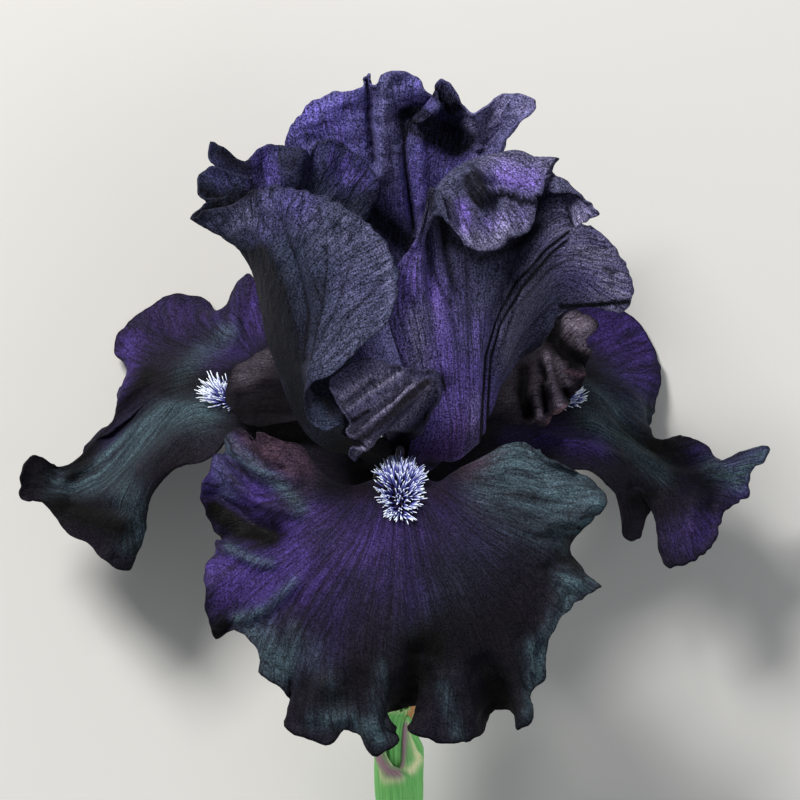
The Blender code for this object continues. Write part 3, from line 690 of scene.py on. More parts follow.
petal(
    "standard_left", **STANDARD, azimuth=-60, side=-1, seed=41, skin=LEFT_SKIN, rows=[16, 12, 28, 32, 34],
    rings=[
        [(-10, 7.5, 3), (-8, 3.5, 8), (-1.6, 3.4, 12)], [(-14, 11, 6), (-17, 6.5, 13), (-6, 5.5, 20)],
        [(-16, 28, -1), (-25, 27, 9), (-27, 26, 20), (-22, 25, 31), (-16, 20.5, 37.5)],
        [(-15, 45, -5), (-27, 47, 3), (-32, 45, 17), (-26, 45, 30), (-6, 35, 39)],
    ],
    edges=[
        [(-8, 8, 2), (-8.5, 13, 1), (-9.5, 21, -1), (-11.5, 31, -4), (-13, 42, -6)],
        [(-1.6, 3.4, 12), (-2.6, 7.5, 18), (-8, 7.5, 23), (-12.5, 9, 29.5), (-12, 10.3, 34),
         (-16, 9.3, 36), (-19, 11.5, 36.5), (-20, 16, 37.5), (-18.5, 19.3, 39), (-14.5, 21, 40),
         (-10.5, 24.5, 41), (-7, 28, 41.3)],
    ],
    first=[
        (-11, 49, -7), (-7, 54, -7), (-4.5, 59, -6), (-4.5, 62, -5), (-7, 66, -4), (-10, 68.5, -3),
        (-14, 71, -1), (-18, 70, 0), (-19, 67, 1), (-20, 68.5, 2), (-24, 69.5, 3), (-30, 69, 4), (-33, 66, 5),
        (-35, 67.5, 6), (-40, 70.3, 8), (-40, 67, 9), (-36, 63.5, 10), (-31, 62.5, 12), (-36, 63.8, 13),
        (-40, 65, 14), (-42.5, 62.5, 15), (-41, 58.5, 18), (-36, 58.9, 19), (-41, 57, 21),
    ],
    apex=(-43.8, 54, 24),
    second=[
        (-4, 30.5, 41.5), (-2, 33, 41.5), (-1, 36, 41.5), (-0.5, 42, 41), (-2, 47, 40.5), (-6, 52, 39.5),
        (-11, 56, 38), (-20, 59.5, 36), (-25, 60.2, 34), (-30, 60, 31), (-36, 56.5, 28), (-40, 56, 26),
    ],
    strokes=[
        ([(-20, 24), (-20, 35), (-23, 46), (-29, 54)], 1.5, -0.9, (0, 2, 0.3, 2)),
        ([(-17.5, 22), (-17.5, 35), (-18.5, 47), (-20, 58)], 1.8, 0.7, FACE),
        ([(-31, 58), (-29, 52), (-26, 45)], 1.3, 0.8, UPPER_FACE),
        ([(-26, 59), (-24, 50), (-22.5, 44)], 1, -0.7, UPPER_FACE),
        ([(-22, 59), (-20.5, 50)], 0.9, 0.5, UPPER_FACE), ([(-35, 56), (-31, 49)], 1.1, -0.6, UPPER_FACE),
        ([(-13, 55), (-9, 47), (-9, 36)], 4.5, 0.8, (0.3, 2, 0.5, 2)),
        ([(-15.5, 18.5), (-16.5, 14.5), (-13.5, 12)], 1.7, -2.2, (0.3, 2, 0.15, 0.7)),
        ([(-20, 24), (-19, 34), (-21, 44), (-25, 54)], 0.45, -0.3, FACE),
        ([(-18.5, 24), (-16, 36), (-15, 46), (-17, 57)], 0.45, -0.3, FACE),
        ([(-17, 24), (-10, 34), (-3.5, 40)], 0.45, -0.25, FACE),
        ([(-17.5, 26), (-12, 38), (-9, 48)], 0.4, -0.25, FACE),
        ([(-22, 67), (-23, 63)], 2.6, -1.8, (-2, -0.1, 0.7, 2)),
        ([(-14, 69), (-12, 64)], 2, 0.9, (-2, -0.1, 0.7, 2)),
        ([(-28, 67), (-28, 62)], 1.6, 0.9, (-2, 0, 0.7, 2)),
    ],
    violet=[
        ([(-34, 62), (-38, 66), (-24, 68)], 5, 0.25, (-2, 0.1, 0.5, 2)),
        ([(-30, 52), (-22, 56)], 4, 0.3, UPPER_FACE), ([(-14, 68), (-8, 63)], 4.5, 0.5, (-2, 0, 0.5, 2)),
        ([(-29, 67), (-27, 62)], 3.5, 0.35, (-2, 0.1, 0.5, 2)),
        ([(-10, 40), (-4, 38)], 5, 0.12, (0.2, 2, 0.4, 2)), ([(-20, 57), (-27, 58)], 4, 0.3, UPPER_FACE),
    ],
    # Partly painted light: the lit face and the lit upper ruffles.
    pale=[
        ([(-12, 26), (-8, 36), (-8, 46), (-16, 54)], 7, 0.42, MID_FACE),
        ([(-38, 55), (-28, 56)], 4.5, 0.5, MID_FACE), ([(-41, 55), (-37, 57)], 2.5, 0.7, MID_FACE),
        ([(-38, 53), (-33, 53)], 3.2, 0.6, (-2, 2, 0.4, 2)),
        ([(-6.5, 52), (-3, 46), (-2, 38), (-4, 32)], 1.4, 0.5, (0.3, 2, 0.6, 2)),
    ],
    # Painted shade on the left flank, in the throat, in the hollows and in the ruffle curls. The thin lines
    # are dark veins.
    black=[
        ([(-21.5, 12), (-22.5, 26), (-25, 38), (-29, 46)], 2.8, 1),
        ([(-26, 24), (-29, 36), (-32.5, 44)], 3.3, 1), ([(-12, 4), (-4, 5)], 4, 1.4, (-2, 2, 0, 0.35)),
        ([(-16, 17.5), (-14, 13)], 1.6, 0.9, (0.3, 2, 0.15, 0.8)),
        ([(-20, 24), (-19, 34), (-21, 44), (-25, 54)], 0.35, 0.7, FACE),
        ([(-18.5, 24), (-16, 36), (-15, 46), (-17, 57)], 0.3, 0.6, FACE),
        ([(-17.5, 26), (-12, 38), (-9, 48)], 0.28, 0.55, FACE),
        ([(-17, 24), (-10, 34), (-3.5, 40)], 0.28, 0.55, FACE),
        ([(-16.2, 36), (-19.5, 44), (-20, 52)], 0.25, 0.5, FACE),
        ([(-12.2, 38), (-12.5, 47), (-14, 53)], 0.25, 0.5, FACE),
        ([(-14, 31), (-7, 37), (-2.5, 43)], 0.25, 0.45, FACE), ([(-26, 50), (-31, 56)], 0.25, 0.5, FACE),
        ([(-23, 66)], 3.2, 0.6, (-2, 0, 0.5, 2)), ([(-38, 68), (-33, 65)], 2.4, 0.8),
        ([(-42, 60), (-38, 58), (-31, 59.5)], 1.8, 0.9), ([(-43.5, 54), (-40, 56.5), (-36, 57.5)], 0.9, 0.9),
        ([(-12, 57), (-6, 59)], 2.5, 0.5, (-2, 0, 0, 2)), ([(-19, 30), (-17, 40)], 2.2, 0.45, FACE),
    ])
petal(
    "standard_right", **STANDARD, azimuth=60, side=-1, seed=53, skin=RIGHT_SKIN, rows=[16, 12, 28, 36, 32],
    rings=[
        [(1.6, 3.4, 11.5), (8.5, 3, 9), (11, 8, 2.5)],
        [(2.6, 8.5, 18.5), (12, 3.5, 18.5), (17, 8.5, 13), (17, 11, 7)],
        [(2.5, 21, 28), (12, 20, 25), (17.5, 22, 18), (22, 23, 12), (23.5, 22.5, 4)],
        [(0, 39, 33), (6, 52, 35), (10, 62, 35), (18, 66.5, 34), (26, 67, 33), (33, 62, 32), (35, 55, 31),
         (33, 46, 24), (35, 40, 15), (33, 33, 10.5)],
    ],
    edges=[
        [(1.6, 3.4, 11.5), (2.6, 8.5, 18.5), (3.4, 13, 24), (2, 18, 27.5), (-0.5, 26, 30), (-2.5, 33, 32)],
        [(11, 8, 2.5), (16.5, 11.5, 4), (19, 15, 3), (22, 20, 3), (25.5, 24.5, 4), (30, 27.5, 7)],
    ],
    first=[
        (-2, 42, 33), (1, 46, 34), (4, 50, 36), (5, 55, 37), (6.5, 60.5, 37), (9, 58, 40), (9.8, 54, 42),
        (12, 50.5, 43.5), (16.5, 46.8, 45), (20, 47.7, 45), (24.5, 50, 44), (28, 53.5, 42.5),
        (29.3, 58.5, 40), (30.5, 62, 37), (33.2, 66.8, 34), (30, 60, 34.5), (32.5, 58.7, 35), (36, 59, 36),
    ],
    apex=(41.7, 54.8, 37),
    second=[
        (32, 31, 9), (34, 34.8, 10), (40, 35, 10.5), (48, 35.5, 10), (49.3, 39, 11), (48.5, 43, 13),
        (45, 48, 17), (40.5, 52, 23), (37, 52, 30), (39, 53, 35),
    ],
    strokes=[
        (RIGHT_RIB_INNER, 0.4, -0.5, RIB_PART), (RIGHT_RIB_OUTER, 0.4, -0.5, RIB_PART),
        ([(17.4, 6), (17.8, 15), (18.45, 25), (20.6, 32), (25.1, 40), (31, 47)], 0.4, 0.35, RIB_PART),
        ([(16, 8), (15.8, 25), (17.3, 34), (21, 42)], 1.4, 0.8, BELOW_FLAP),
        ([(21, 22), (21.5, 31), (25, 39)], 1.5, 0.7, BELOW_FLAP),
        ([(5, 52), (6.5, 44), (10, 36), (13, 28)], 0.9, -0.6, BELOW_FLAP),
        ([(3, 48), (5, 38), (9, 28)], 1.6, 0.5, BELOW_FLAP),
        ([(8.6, 53), (9.6, 46), (12, 38)], 0.8, -1.1, BELOW_FLAP),
        ([(14, 44), (16, 38)], 1, -0.5, BELOW_FLAP), ([(27, 42), (30, 36)], 2.5, 0.8, BELOW_FLAP),
        ([(15.2, 62), (16, 59.5), (17.3, 57)], 1.5, -5, FLAP), ([(20, 62), (20, 56)], 1.1, 1.3, FLAP),
        ([(18.5, 58.6), (21.5, 59.3), (25, 57.6), (29.5, 57)], 0.8, -3, FLAP),
        ([(18, 61), (20.5, 61.5), (23, 60.5), (27, 59.5)], 0.9, 1.3, FLAP),
        ([(12, 60), (12.5, 53)], 1.2, 1.6, FLAP), ([(15.5, 55), (16, 49)], 1, -1.3, FLAP),
        ([(18.5, 54), (19, 49)], 1, 1.2, FLAP), ([(22, 56), (22.5, 50)], 1, -1.2, FLAP),
        ([(25.5, 56), (26, 52)], 1, 1.2, FLAP), ([(24, 65), (31, 64)], 2.2, 1.2, FLAP),
        ([(19, 65), (17, 61)], 1.2, -0.8, FLAP), ([(34, 57), (38, 56)], 1.6, -1.6, (0.3, 2, 0.74, 2)),
    ],
    # The violet stroke from (38, 48) to (45, 42) is painted light on the right lobe.
    violet=[
        ([(12, 2), (12, 14)], 7, 1.4), ([(5, 8), (12, 5)], 4, 1.2), ([(6, 20), (3, 34), (1, 44)], 5.5, 1.7),
        ([(16, 12), (17, 30)], 3.5, 0.6), ([(10, 26), (10, 38)], 6, 0.25), ([(38, 48), (45, 42)], 6, 1.2),
        ([(22, 63), (27, 62)], 3, 1, FLAP), ([(13, 56), (14, 51)], 1.6, 0.8, FLAP),
        ([(19, 52), (25, 54)], 2, 0.5, FLAP),
    ],
    brown=[([(8, 4), (13, 9)], 3, 0.35)],
    # Partly painted light: the lit right lobe and parts of the collar flap.
    pale=[
        ([(15, 4), (16, 16)], 1.6, 0.25), ([(3.5, 24), (4, 33)], 2.8, 0.6),
        ([(37, 49), (45, 45), (45, 38)], 6, 0.85), ([(22, 27), (25, 35), (28, 42)], 4, 0.25),
        ([(21, 66), (31, 65)], 3.6, 0.2), ([(14, 50), (17, 48.5), (24, 52)], 2.2, 0.3, FLAP),
        ([(24, 56), (22, 53)], 2, 0.15, FLAP), ([(30, 52), (38, 54)], 2.2, 0.3),
    ],
    # Painted shade in the collar flap's folds, under the collar and beside the crest. The thin lines are dark
    # veins and the midrib's grooves.
    black=[
        ([(4, 12), (6, 16), (9.5, 20)], 2, 0.6), ([(6, 2.4), (12, 1.5)], 1.4, 0.8),
        ([(34, 35.6), (41, 36), (48, 36.6)], 0.5, 1.5),
        ([(15.3, 61.6), (16.2, 59.3), (17.4, 57.4)], 1.15, 6, FLAP),
        ([(18.4, 58.2), (22.5, 58.9), (25, 57.4), (29, 57)], 0.42, 4, FLAP),
        ([(12, 60), (12.6, 55), (15.5, 50)], 0.22, 0.8, FLAP), ([(19.4, 56), (19.6, 50)], 0.22, 0.7, FLAP),
        ([(23.5, 56), (24.4, 51.5)], 0.22, 0.7, FLAP), ([(10.5, 57), (12, 52.5)], 0.8, 0.6, FLAP),
        ([(15.5, 54), (16, 49.5)], 0.7, 0.5, FLAP), (RIGHT_RIB_INNER, 0.28, 2, RIB_PART),
        (RIGHT_RIB_OUTER, 0.28, 2, RIB_PART), ([(5, 53), (6.3, 44), (10, 36)], 0.7, 0.6, BELOW_FLAP),
        ([(8, 56), (10, 50), (16.5, 45.5), (25, 48.5), (29, 52)], 1.3, 0.9, BELOW_FLAP),
        ([(34, 57), (38, 56)], 1.5, 0.7, (0.3, 2, 0.74, 2)), ([(26, 25), (31, 29)], 1.4, 0.7),
        ([(13, 8), (12, 25), (10, 40)], 0.25, 0.5, BELOW_FLAP),
        ([(14.6, 10), (14.2, 28), (13.6, 45)], 0.25, 0.5, BELOW_FLAP),
        ([(11, 10), (8, 25), (4.6, 38)], 0.25, 0.5, BELOW_FLAP),
        ([(20, 24), (24, 35), (31, 43), (38, 47)], 0.3, 0.5, (-2, 2, 0, 0.9)),
        ([(21, 20), (26, 30), (34, 38)], 0.25, 0.45, (-2, 2, 0, 0.9)),
        ([(8.6, 53), (9.6, 46), (12, 38)], 0.8, 0.8, BELOW_FLAP), ([(14.5, 5), (15.5, 10)], 1.4, 0.35),
        ([(6.5, 59.5), (6.5, 56)], 1.3, 0.8), ([(33, 46), (28, 42)], 1.2, 0.4),
    ])
petal(
    "standard_back", **STANDARD, azimuth=180, side=1, seed=67, skin=BACK_SKIN, rows=[16, 12, 28, 30, 34],
    rings=[
        [(4.5, 11, -8), (0, 11.3, -9), (-4.5, 11, -8)], [(8, 18, -13.5), (0, 19, -16), (-8, 18, -13.5)],
        [(18, 44, -14), (10, 45, -19), (0, 45, -20), (-10, 45, -19), (-18, 44, -14)],
        [(23, 60, -4), (12, 66, -6), (0, 68, -5), (-12, 66, -8), (-24.5, 60, -8.5)],
    ],
    edges=[
        [(4.5, 11, -8), (8, 18, -13), (17, 33, -14), (22, 47, -11), (23.5, 56, -6)],
        [(-4.5, 11, -8), (-8, 18, -13), (-17, 33, -14), (-22, 47, -12), (-24.3, 56, -9.5)],
    ],
    first=[
        (21.7, 63.5, 0), (20.5, 68, 5), (24, 73, 9), (28.5, 79, 11), (26, 80.2, 10), (22, 80.3, 9),
        (18, 78, 7), (14, 77, 7), (12.5, 79.5, 8), (8.5, 83.5, 9), (7.5, 82.5, 7.5), (9, 78, 6), (6, 80, 5),
        (4, 83.5, 5),
    ],
    apex=(0, 85.3, 6),
    second=[
        (-24.8, 66, -7), (-24, 72, -4), (-23, 74, -2.5), (-20, 77.5, 0), (-15, 80.5, 1), (-10, 81.5, 2),
        (-7.5, 82.5, 3.5), (-6.6, 84.8, 4.5), (-5.8, 82.8, 4), (-3, 85.5, 5),
    ],
    strokes=[
        ([(0.5, 76), (1, 66), (3, 52)], 0.9, -1.3), ([(-3, 83), (-3.5, 74), (-3.5, 64)], 1.5, 1.2),
        ([(-7, 83), (-6.5, 74), (-5.5, 66)], 1, -1.2), ([(3.5, 76), (4.5, 68), (5, 58)], 1.2, 0.9),
        ([(5, 75), (11, 71.5)], 3.6, -4.2), ([(15.5, 76), (16.5, 70)], 1.6, 1.4),
        ([(20, 75), (24, 78)], 2, 0.8), ([(-10, 62), (-12, 72), (-12, 80)], 3.5, 0.5),
        ([(-1, 78), (-0.5, 70)], 0.8, -0.6),
    ],
    violet=[
        ([(-20, 74), (-12, 78), (-11, 70)], 6, 1), ([(4, 62), (6, 72), (3, 80)], 4.5, 0.9),
        ([(3, 58), (8, 66)], 4, 1.4), ([(12, 64), (16, 68)], 3.5, 0.7),
    ],
    # Painted light on the right lobe.
    pale=[
        ([(17, 74), (22, 78), (27, 79)], 4.2, 1), ([(17, 70), (18, 66)], 2.4, 0.4),
        ([(-3, 82), (-2.5, 72), (-2, 62)], 2, 0.35),
    ],
    # Painted shade in the hollow under the top margin's overhang and in the gap between the standards.
    black=[
        ([(3, 75.5), (7, 73), (12, 71)], 3.3, 1.6), ([(8, 80.5), (11.5, 78)], 1.6, 1),
        ([(9, 82), (11.5, 78)], 1.5, 0.7), ([(0.6, 76), (1.2, 66), (3, 52)], 0.8, 0.85),
        ([(-6.8, 83), (-6.3, 74), (-5.5, 67)], 0.9, 0.55), ([(-6, 55.5), (-1, 51.5), (2, 49)], 2.4, 1.2),
        ([(12, 69), (15, 71)], 1.4, 0.5),
    ])
petal(
    "style_arm_front", **STYLE_ARM, azimuth=0, seed=71, ruffle=0.4, crepe=0.2, skin=CREST_SKIN,
    rows=[20, 20, 40],
    rings=[[(-3.5, 8, 20), (0, 10, 21), (3.5, 8, 20)], [(-8.5, 4.5, 30), (-1.5, 9, 31), (5, 10.5, 29.5)]],
    edges=[[(-3.5, 8, 20), (-7.5, 4.5, 29)], [(3.5, 8, 20), (5, 9.5, 29)]],
    first=[
        (-9.2, 3, 32.5), (-10.4, 5.6, 34.5), (-8.8, 6.9, 34.6), (-10.2, 7.4, 35.5), (-10.6, 10.9, 36.8),
        (-12.6, 14, 37), (-15, 19.5, 37),
    ],
    apex=(-8, 24.3, 37.5),
    second=[(6, 12, 33), (8, 16.5, 34), (8.5, 21, 35), (1, 22.5, 37)],
    strokes=[
        ([(-9, 6.9), (-6.3, 8.9), (-2, 12.5), (2, 16.5), (5.5, 19.5)], 0.75, -2.8),
        ([(-9.2, 4.4), (-2.1, 8.6), (2.9, 13.4), (6.6, 18.7)], 0.9, 1.3),
        ([(-10, 9.2), (-6.3, 11.8), (-0.8, 16), (2.1, 18.7)], 0.9, 1.3),
        ([(-10.5, 11.3), (-6.7, 13.6)], 0.35, -0.6), ([(-11.5, 14), (-6, 18), (0, 21.5)], 0.7, 0.8),
        ([(-12, 15.5), (-6, 20.2)], 0.6, -0.7),
    ],
    brown=[([(-10, 8.4), (-9, 10.5)], 0.7, 0.5)],
    # Painted highlights along the crest's ridges.
    pale=[
        ([(-9.2, 4.6), (-2.1, 8.8), (2.9, 13.6), (6.6, 18.9)], 0.9, 1),
        ([(-10, 9.6), (-6.3, 12.2), (-0.8, 16.4), (2.1, 19)], 1.3, 0.85),
        ([(-11.5, 14.2), (-6, 18.2), (0, 21.7)], 0.8, 0.7), ([(-12, 17), (-4, 21)], 2.4, 0.25),
    ],
    # Painted shade in the crest's grooves.
    black=[
        ([(-9.2, 6.8), (-6.3, 8.8), (-2, 12.3), (2, 16.3), (5.5, 19.3)], 0.85, 1.5),
        ([(-10.5, 11.3), (-6.7, 13.6)], 0.35, 1.2), ([(-8, 3.6), (-2, 6.6), (2, 9), (6, 13)], 0.9, 0.75),
        ([(-12, 15.5), (-6, 20.2)], 0.5, 0.5),
    ])
petal(
    "style_arm_left", **STYLE_ARM, azimuth=-120, seed=79, ruffle=0.5, crepe=0.3, skin=STYLE_SKIN,
    rows=[20, 20, 26],
    rings=[
        [(-12.5, 18.8, -7), (-16, 16.2, -2.3), (-15.3, 11.5, 2.6)],
        [(-24, 26.5, -13), (-28, 19, -5), (-27, 10.5, 1.5)],
    ],
    edges=[[(-12.5, 18.8, -7), (-24, 26.5, -13)], [(-15, 11.5, 3), (-27, 10.5, 1.5)]],
    first=[(-27, 27.3, -13.5), (-29.5, 26.3, -13), (-32, 24.5, -12), (-35, 22.5, -10.5)],
    apex=(-36.8, 18.5, -7),
    second=[(-30, 10, 1.5), (-33, 10.8, 1), (-36.5, 14, -1.5)],
    strokes=[
        ([(-20, 17), (-28, 20), (-35, 17)], 1, 1), ([(-24, 23), (-31, 22)], 1, -0.8),
        ([(-22, 13), (-30, 13)], 1.2, -0.6),
    ],
    pale=[([(-27, 25), (-33, 21)], 2.5, 0.35)],
    # Painted shade along its lower edge and near its base.
    black=[([(-26, 12), (-35, 14)], 4, 0.7), ([(-20, 16), (-26, 18)], 4, 0.6)])
petal(
    "style_arm_right", **STYLE_ARM, azimuth=120, seed=83, ruffle=1, crepe=0.55, skin=STYLE_SKIN,
    rows=[20, 20, 36],
    rings=[
        [(15.5, 11, 1.5), (16, 16, -2.5), (12.5, 18.8, -7.5)],
        [(26, 11, 1.5), (28, 19.5, -4.5), (25, 27, -12.5)],
    ],
    edges=[[(15.5, 11, 1.5), (26, 11, 1.5)], [(12.5, 18.8, -7.5), (25, 27, -12.5)]],
    first=[
        (28.5, 11.5, 1.5), (30.5, 10.2, 1.2), (32.5, 12.5, 0.5), (34.5, 13.5, 1), (36, 17, -0.5),
        (38.5, 19.5, -1.5),
    ],
    apex=(39.5, 21.5, -4),
    second=[
        (28.5, 30, -14.5), (31.5, 33, -14.8), (35, 34, -14), (40.3, 33, -12), (41.8, 31.5, -11.5),
        (40, 28, -9), (40.5, 25.5, -7), (38, 23.3, -5.5),
    ],
    strokes=[
        ([(31.2, 25.4), (31.8, 21.5), (32.4, 18), (34, 14.7)], 0.8, 1.4),
        ([(28.2, 17), (29.5, 12.5)], 0.8, 1.2), ([(36, 32), (39.5, 31), (39, 28.5)], 1.8, 1.3),
        ([(37.5, 28.5), (40.5, 26)], 0.5, 0.9), ([(35, 22), (38.6, 21.2)], 0.6, 1.3),
        ([(26.5, 22), (26, 17), (27, 13)], 1.3, -2), ([(30.4, 18.5), (31, 13.5)], 0.7, -2),
        ([(30, 23.5), (31, 20.5)], 0.9, -1.6), ([(35, 18), (35.8, 15.6)], 0.8, -1.4),
        ([(33, 33), (32.5, 29), (35, 26), (39, 24)], 1.5, -2.4), ([(33.5, 24), (35.5, 19)], 0.8, 1.1),
    ],
    brown=[([(35, 21.8), (38.8, 21)], 0.5, 1), ([(32, 10.8), (35.2, 14.4)], 0.8, 0.9)],
    # Painted highlights on the ridges and the lit top.
    pale=[
        ([(36.2, 32), (39.6, 31.4), (39.2, 28.8)], 1.9, 0.85), ([(27, 15), (33, 20), (37, 27)], 5, 0.3),
        ([(31.2, 25.4), (31.8, 21.5), (32.4, 18), (34, 14.7)], 0.7, 0.9),
        ([(28.2, 17), (29.5, 12.5)], 0.8, 0.8), ([(33.5, 24), (35.5, 19)], 0.8, 0.6),
        ([(37.5, 28.5), (40.6, 25.8)], 0.35, 0.8),
    ],
    # Painted shade in the grooves between the ridges.
    black=[
        ([(33, 33), (32.5, 29), (35, 26), (39, 24)], 2, 1.3), ([(26.5, 22), (26, 17), (27, 13)], 1.5, 1.4),
        ([(30.4, 18.5), (31, 13.5)], 0.7, 1.3), ([(30.3, 23), (31, 20.5)], 0.8, 1.2),
        ([(35, 18), (35.8, 15.6)], 0.8, 1.1), ([(36.5, 23.2), (39, 23.5)], 0.7, 1),
    ])


# ---- beards

def in_scene(name, data):
    made = bpy.data.objects.new(name, data)
    bpy.context.scene.collection.objects.link(made)
    return made


def beard_material():
    material, tree, shader = new_material("beard hair")
    shade = add_node(tree, "Attribute", {}, attribute_name="bloom_and_highlight").outputs["Color"]
    shade = add_node(tree, "SeparateColor", {"Color": shade}).outputs["Red"]
    colour = mix(tree, map_range(tree, shade, 0.1, 0.65), (0.014, 0.009, 0.080), (0.10, 0.11, 0.42))
    colour = mix(tree, map_range(tree, shade, 0.55, 1.0), colour, (0.80, 0.88, 0.97))
    fill(tree, shader, {"Base Color": colour, "Roughness": 0.5})
    return material


def beard(name, fall, first_row, last_row, half_width, count, seed, length, aside=0):
    """Tapered hairs along the middle of a fall, standing up and bursting outwards from its midst."""
    random = np.random.default_rng(seed)
    grid = petal_rows[fall]
    normals = grid_normals(grid)
    middle = grid.shape[1] // 2
    sides, joints = 5, 6
    points, faces, shades = [], [], []
    for _ in range(count):
        share = random.uniform(0, 1)
        spread = random.uniform(-1, 1)
        i = int(first_row + share * (last_row - first_row))
        ahead = unit(grid[i + 2, middle] - grid[i - 2, middle])
        up = normals[i, middle]
        beside = unit(np.cross(up, ahead))
        reach = half_width * math.sqrt(max(1 - (2 * share - 1) ** 2, 0.12))
        step_across = np.linalg.norm(grid[i, middle + 3] - grid[i, middle - 3]) / 6
        column = int(round(middle + (aside - spread * reach) / max(step_across, 0.02)))
        column = min(max(column, 2), grid.shape[1] - 3)
        root = grid[i, column] + up * 0.1
        lean = unit(up * 0.85 + ahead * (2 * share - 1) * 1.15 - beside * spread * (0.75 + 0.5 * share)
                    + random.normal(size=3) * 0.22)
        size = length * random.uniform(0.7, 1.15)
        curl = unit(random.normal(size=3)) * 0.22 + ahead * (2 * share - 1) * 0.2
        thick = random.uniform(0.10, 0.15)
        base = len(points)
        out_a = unit(np.cross(lean, beside + 0.01))
        out_b = unit(np.cross(lean, out_a))
        for t in np.linspace(0, 1, joints):
            centre = root + lean * size * t + curl * size * t * t * 0.6
            radius = thick * (0.85 + 0.5 * math.sin(math.pi * t) - 0.35 * t)
            for turn in np.arange(sides) * 2 * math.pi / sides:
                points.append(centre + radius * (out_a * math.cos(turn) + out_b * math.sin(turn)))
                shades.append(min(t * (0.74 + 0.4 * share), 1))
        for j in range(base, base + (joints - 1) * sides, sides):
            for k in range(sides):
                a, b = j + k, j + (k + 1) % sides
                faces.append((a, b, b + sides, a + sides))
        faces.append(tuple(range(base, base + sides))[::-1])
        faces.append(tuple(range(base + (joints - 1) * sides, base + joints * sides)))
    mesh = bpy.data.meshes.new(name)
    mesh.from_pydata(from_hub(points).tolist(), [], faces)
    layer = mesh.color_attributes.new("bloom_and_highlight", "FLOAT_COLOR", "POINT")
    layer.data.foreach_set("color", np.array([(s, s, s, 1) for s in shades], np.float32).ravel())
    mesh.shade_smooth()
    return in_scene(name, mesh)


BEARD_HAIR = beard_material()
for side, tuft in {
    "front": dict(first_row=25, last_row=44, half_width=3.1, count=450, seed=5, length=3.5),
    "left": dict(first_row=38, last_row=48, half_width=2.0, count=240, seed=6, length=4.0),
    "right": dict(first_row=38, last_row=49, half_width=1.8, count=170, seed=7, length=2.6, aside=3.2),
}.items():
    finish_piece(
        beard("beard_" + side + "_hairs", "fall_" + side, **tuft), "beard_" + side, BEARD_HAIR)


# ---- tube, stem, bracts and stamens

STEM_CUT = -126.0


def plant_material(name, low, high, pith, roughness):
    """Streaked plant skin. The pith shows where the stem is cut across."""
    material, tree, shader = new_material(name)
    spot = add_node(tree, "TexCoord", {}).outputs["Object"]
    along = add_node(tree, "Mapping", {"Rotation": (-AXIS_RISE, 0, 0), "Vector": spot}).outputs["Vector"]
    streak = noise(tree, stretched(tree, along, (900, 45, 900)), 1.0, 4.0)
    speck = noise(tree, spot, 900, 3.0)
    colour = mix(tree, map_range(tree, streak, 0.3, 0.7), low, high)
    colour = mix(tree, map_range(tree, speck, 0.45, 0.75, 0.0, 0.35), colour, tuple(c * 1.5 for c in high))
    height = add_node(tree, "VectorMath", {0: spot, 1: AXIS}, operation="DOT_PRODUCT").outputs["Value"]
    cut = (float(np.dot(HUB, AXIS)) + STEM_CUT) * MM
    colour = mix(tree, map_range(tree, height, cut + 0.1 * MM, cut + 0.5 * MM, 1.0, 0.0), colour, pith)
    fill(tree, shader, {
        "Base Color": colour, "Roughness": map_range(tree, speck, 0.4, 0.7, roughness, roughness + 0.12),
        "Specular IOR Level": 0.3, "Normal": relief(tree, streak, 0.12),
    })
    return material


def bract_material():
    """A green leafy sheath with mauve, papery and cream patches, and painted shade in deep green."""
    material, tree, shader = new_material("bract skin")
    spots = add_node(tree, "TexCoord", {}).outputs
    veins = add_node(tree, "Group", {"UV": spots["UV"]}, node_tree=VEINS).outputs
    mauve, papery, cream, dye_and_shade = painted(tree)
    streak = map_range(tree, veins["Streaks"], 0.3, 0.7)
    colour = mix(tree, streak, (0.13, 0.48, 0.11), (0.26, 0.70, 0.20))
    # The fourth mask paints shade in deep green.
    for factor, tone in (
        (cream, (0.90, 0.92, 0.52)), (mauve, (0.42, 0.22, 0.30)), (papery, (0.62, 0.24, 0.10)),
        (dye_and_shade, (0.02, 0.05, 0.015)), (times(tree, veins["Veins"], 0.35), (0.07, 0.24, 0.07)),
    ):
        colour = mix(tree, factor, colour, tone)
    fill(tree, shader, {
        "Base Color": colour, "Roughness": map_range(tree, veins["Streaks"], 0.3, 0.7, 0.42, 0.55),
        "Specular IOR Level": 0.35, "Normal": relief(tree, veins["Streaks"], 0.10),
    })
    return material


def turned(name, profile, ribs):
    """A sphere primitive whose rings are moved to these stations (radius, height) about the axis."""
    profile = np.array(profile, float)
    rings = 160
    run = distances_along(profile)
    radius, height = points_at(np.linspace(0, run[-1], rings + 1), run, profile).T
    piece, ball = primitive(
        name, bpy.ops.mesh.primitive_uv_sphere_add, segments=60, ring_count=rings, radius=1)
    ring = np.rint(np.arccos(np.clip(ball[:, 2], -1, 1)) / math.pi * rings).astype(int)
    turn = np.arctan2(ball[:, 1], ball[:, 0])
    swell = 1 + ribs * (np.sin(6 * turn + 0.5) + 0.5 * np.sin(17 * turn))
    points = [place(math.degrees(t), radius[r] * k, height[r]) for t, r, k in zip(turn, ring, swell)]
    piece.data.vertices.foreach_set("co", from_hub(points).astype(np.float32).ravel())
    piece.data.update()
    only(piece)
    bpy.ops.object.mode_set(mode="EDIT")
    bpy.ops.mesh.select_all(action="SELECT")
    bpy.ops.mesh.normals_make_consistent(inside=False)
    bpy.ops.object.mode_set(mode="OBJECT")
    bpy.ops.object.shade_smooth()
    return piece


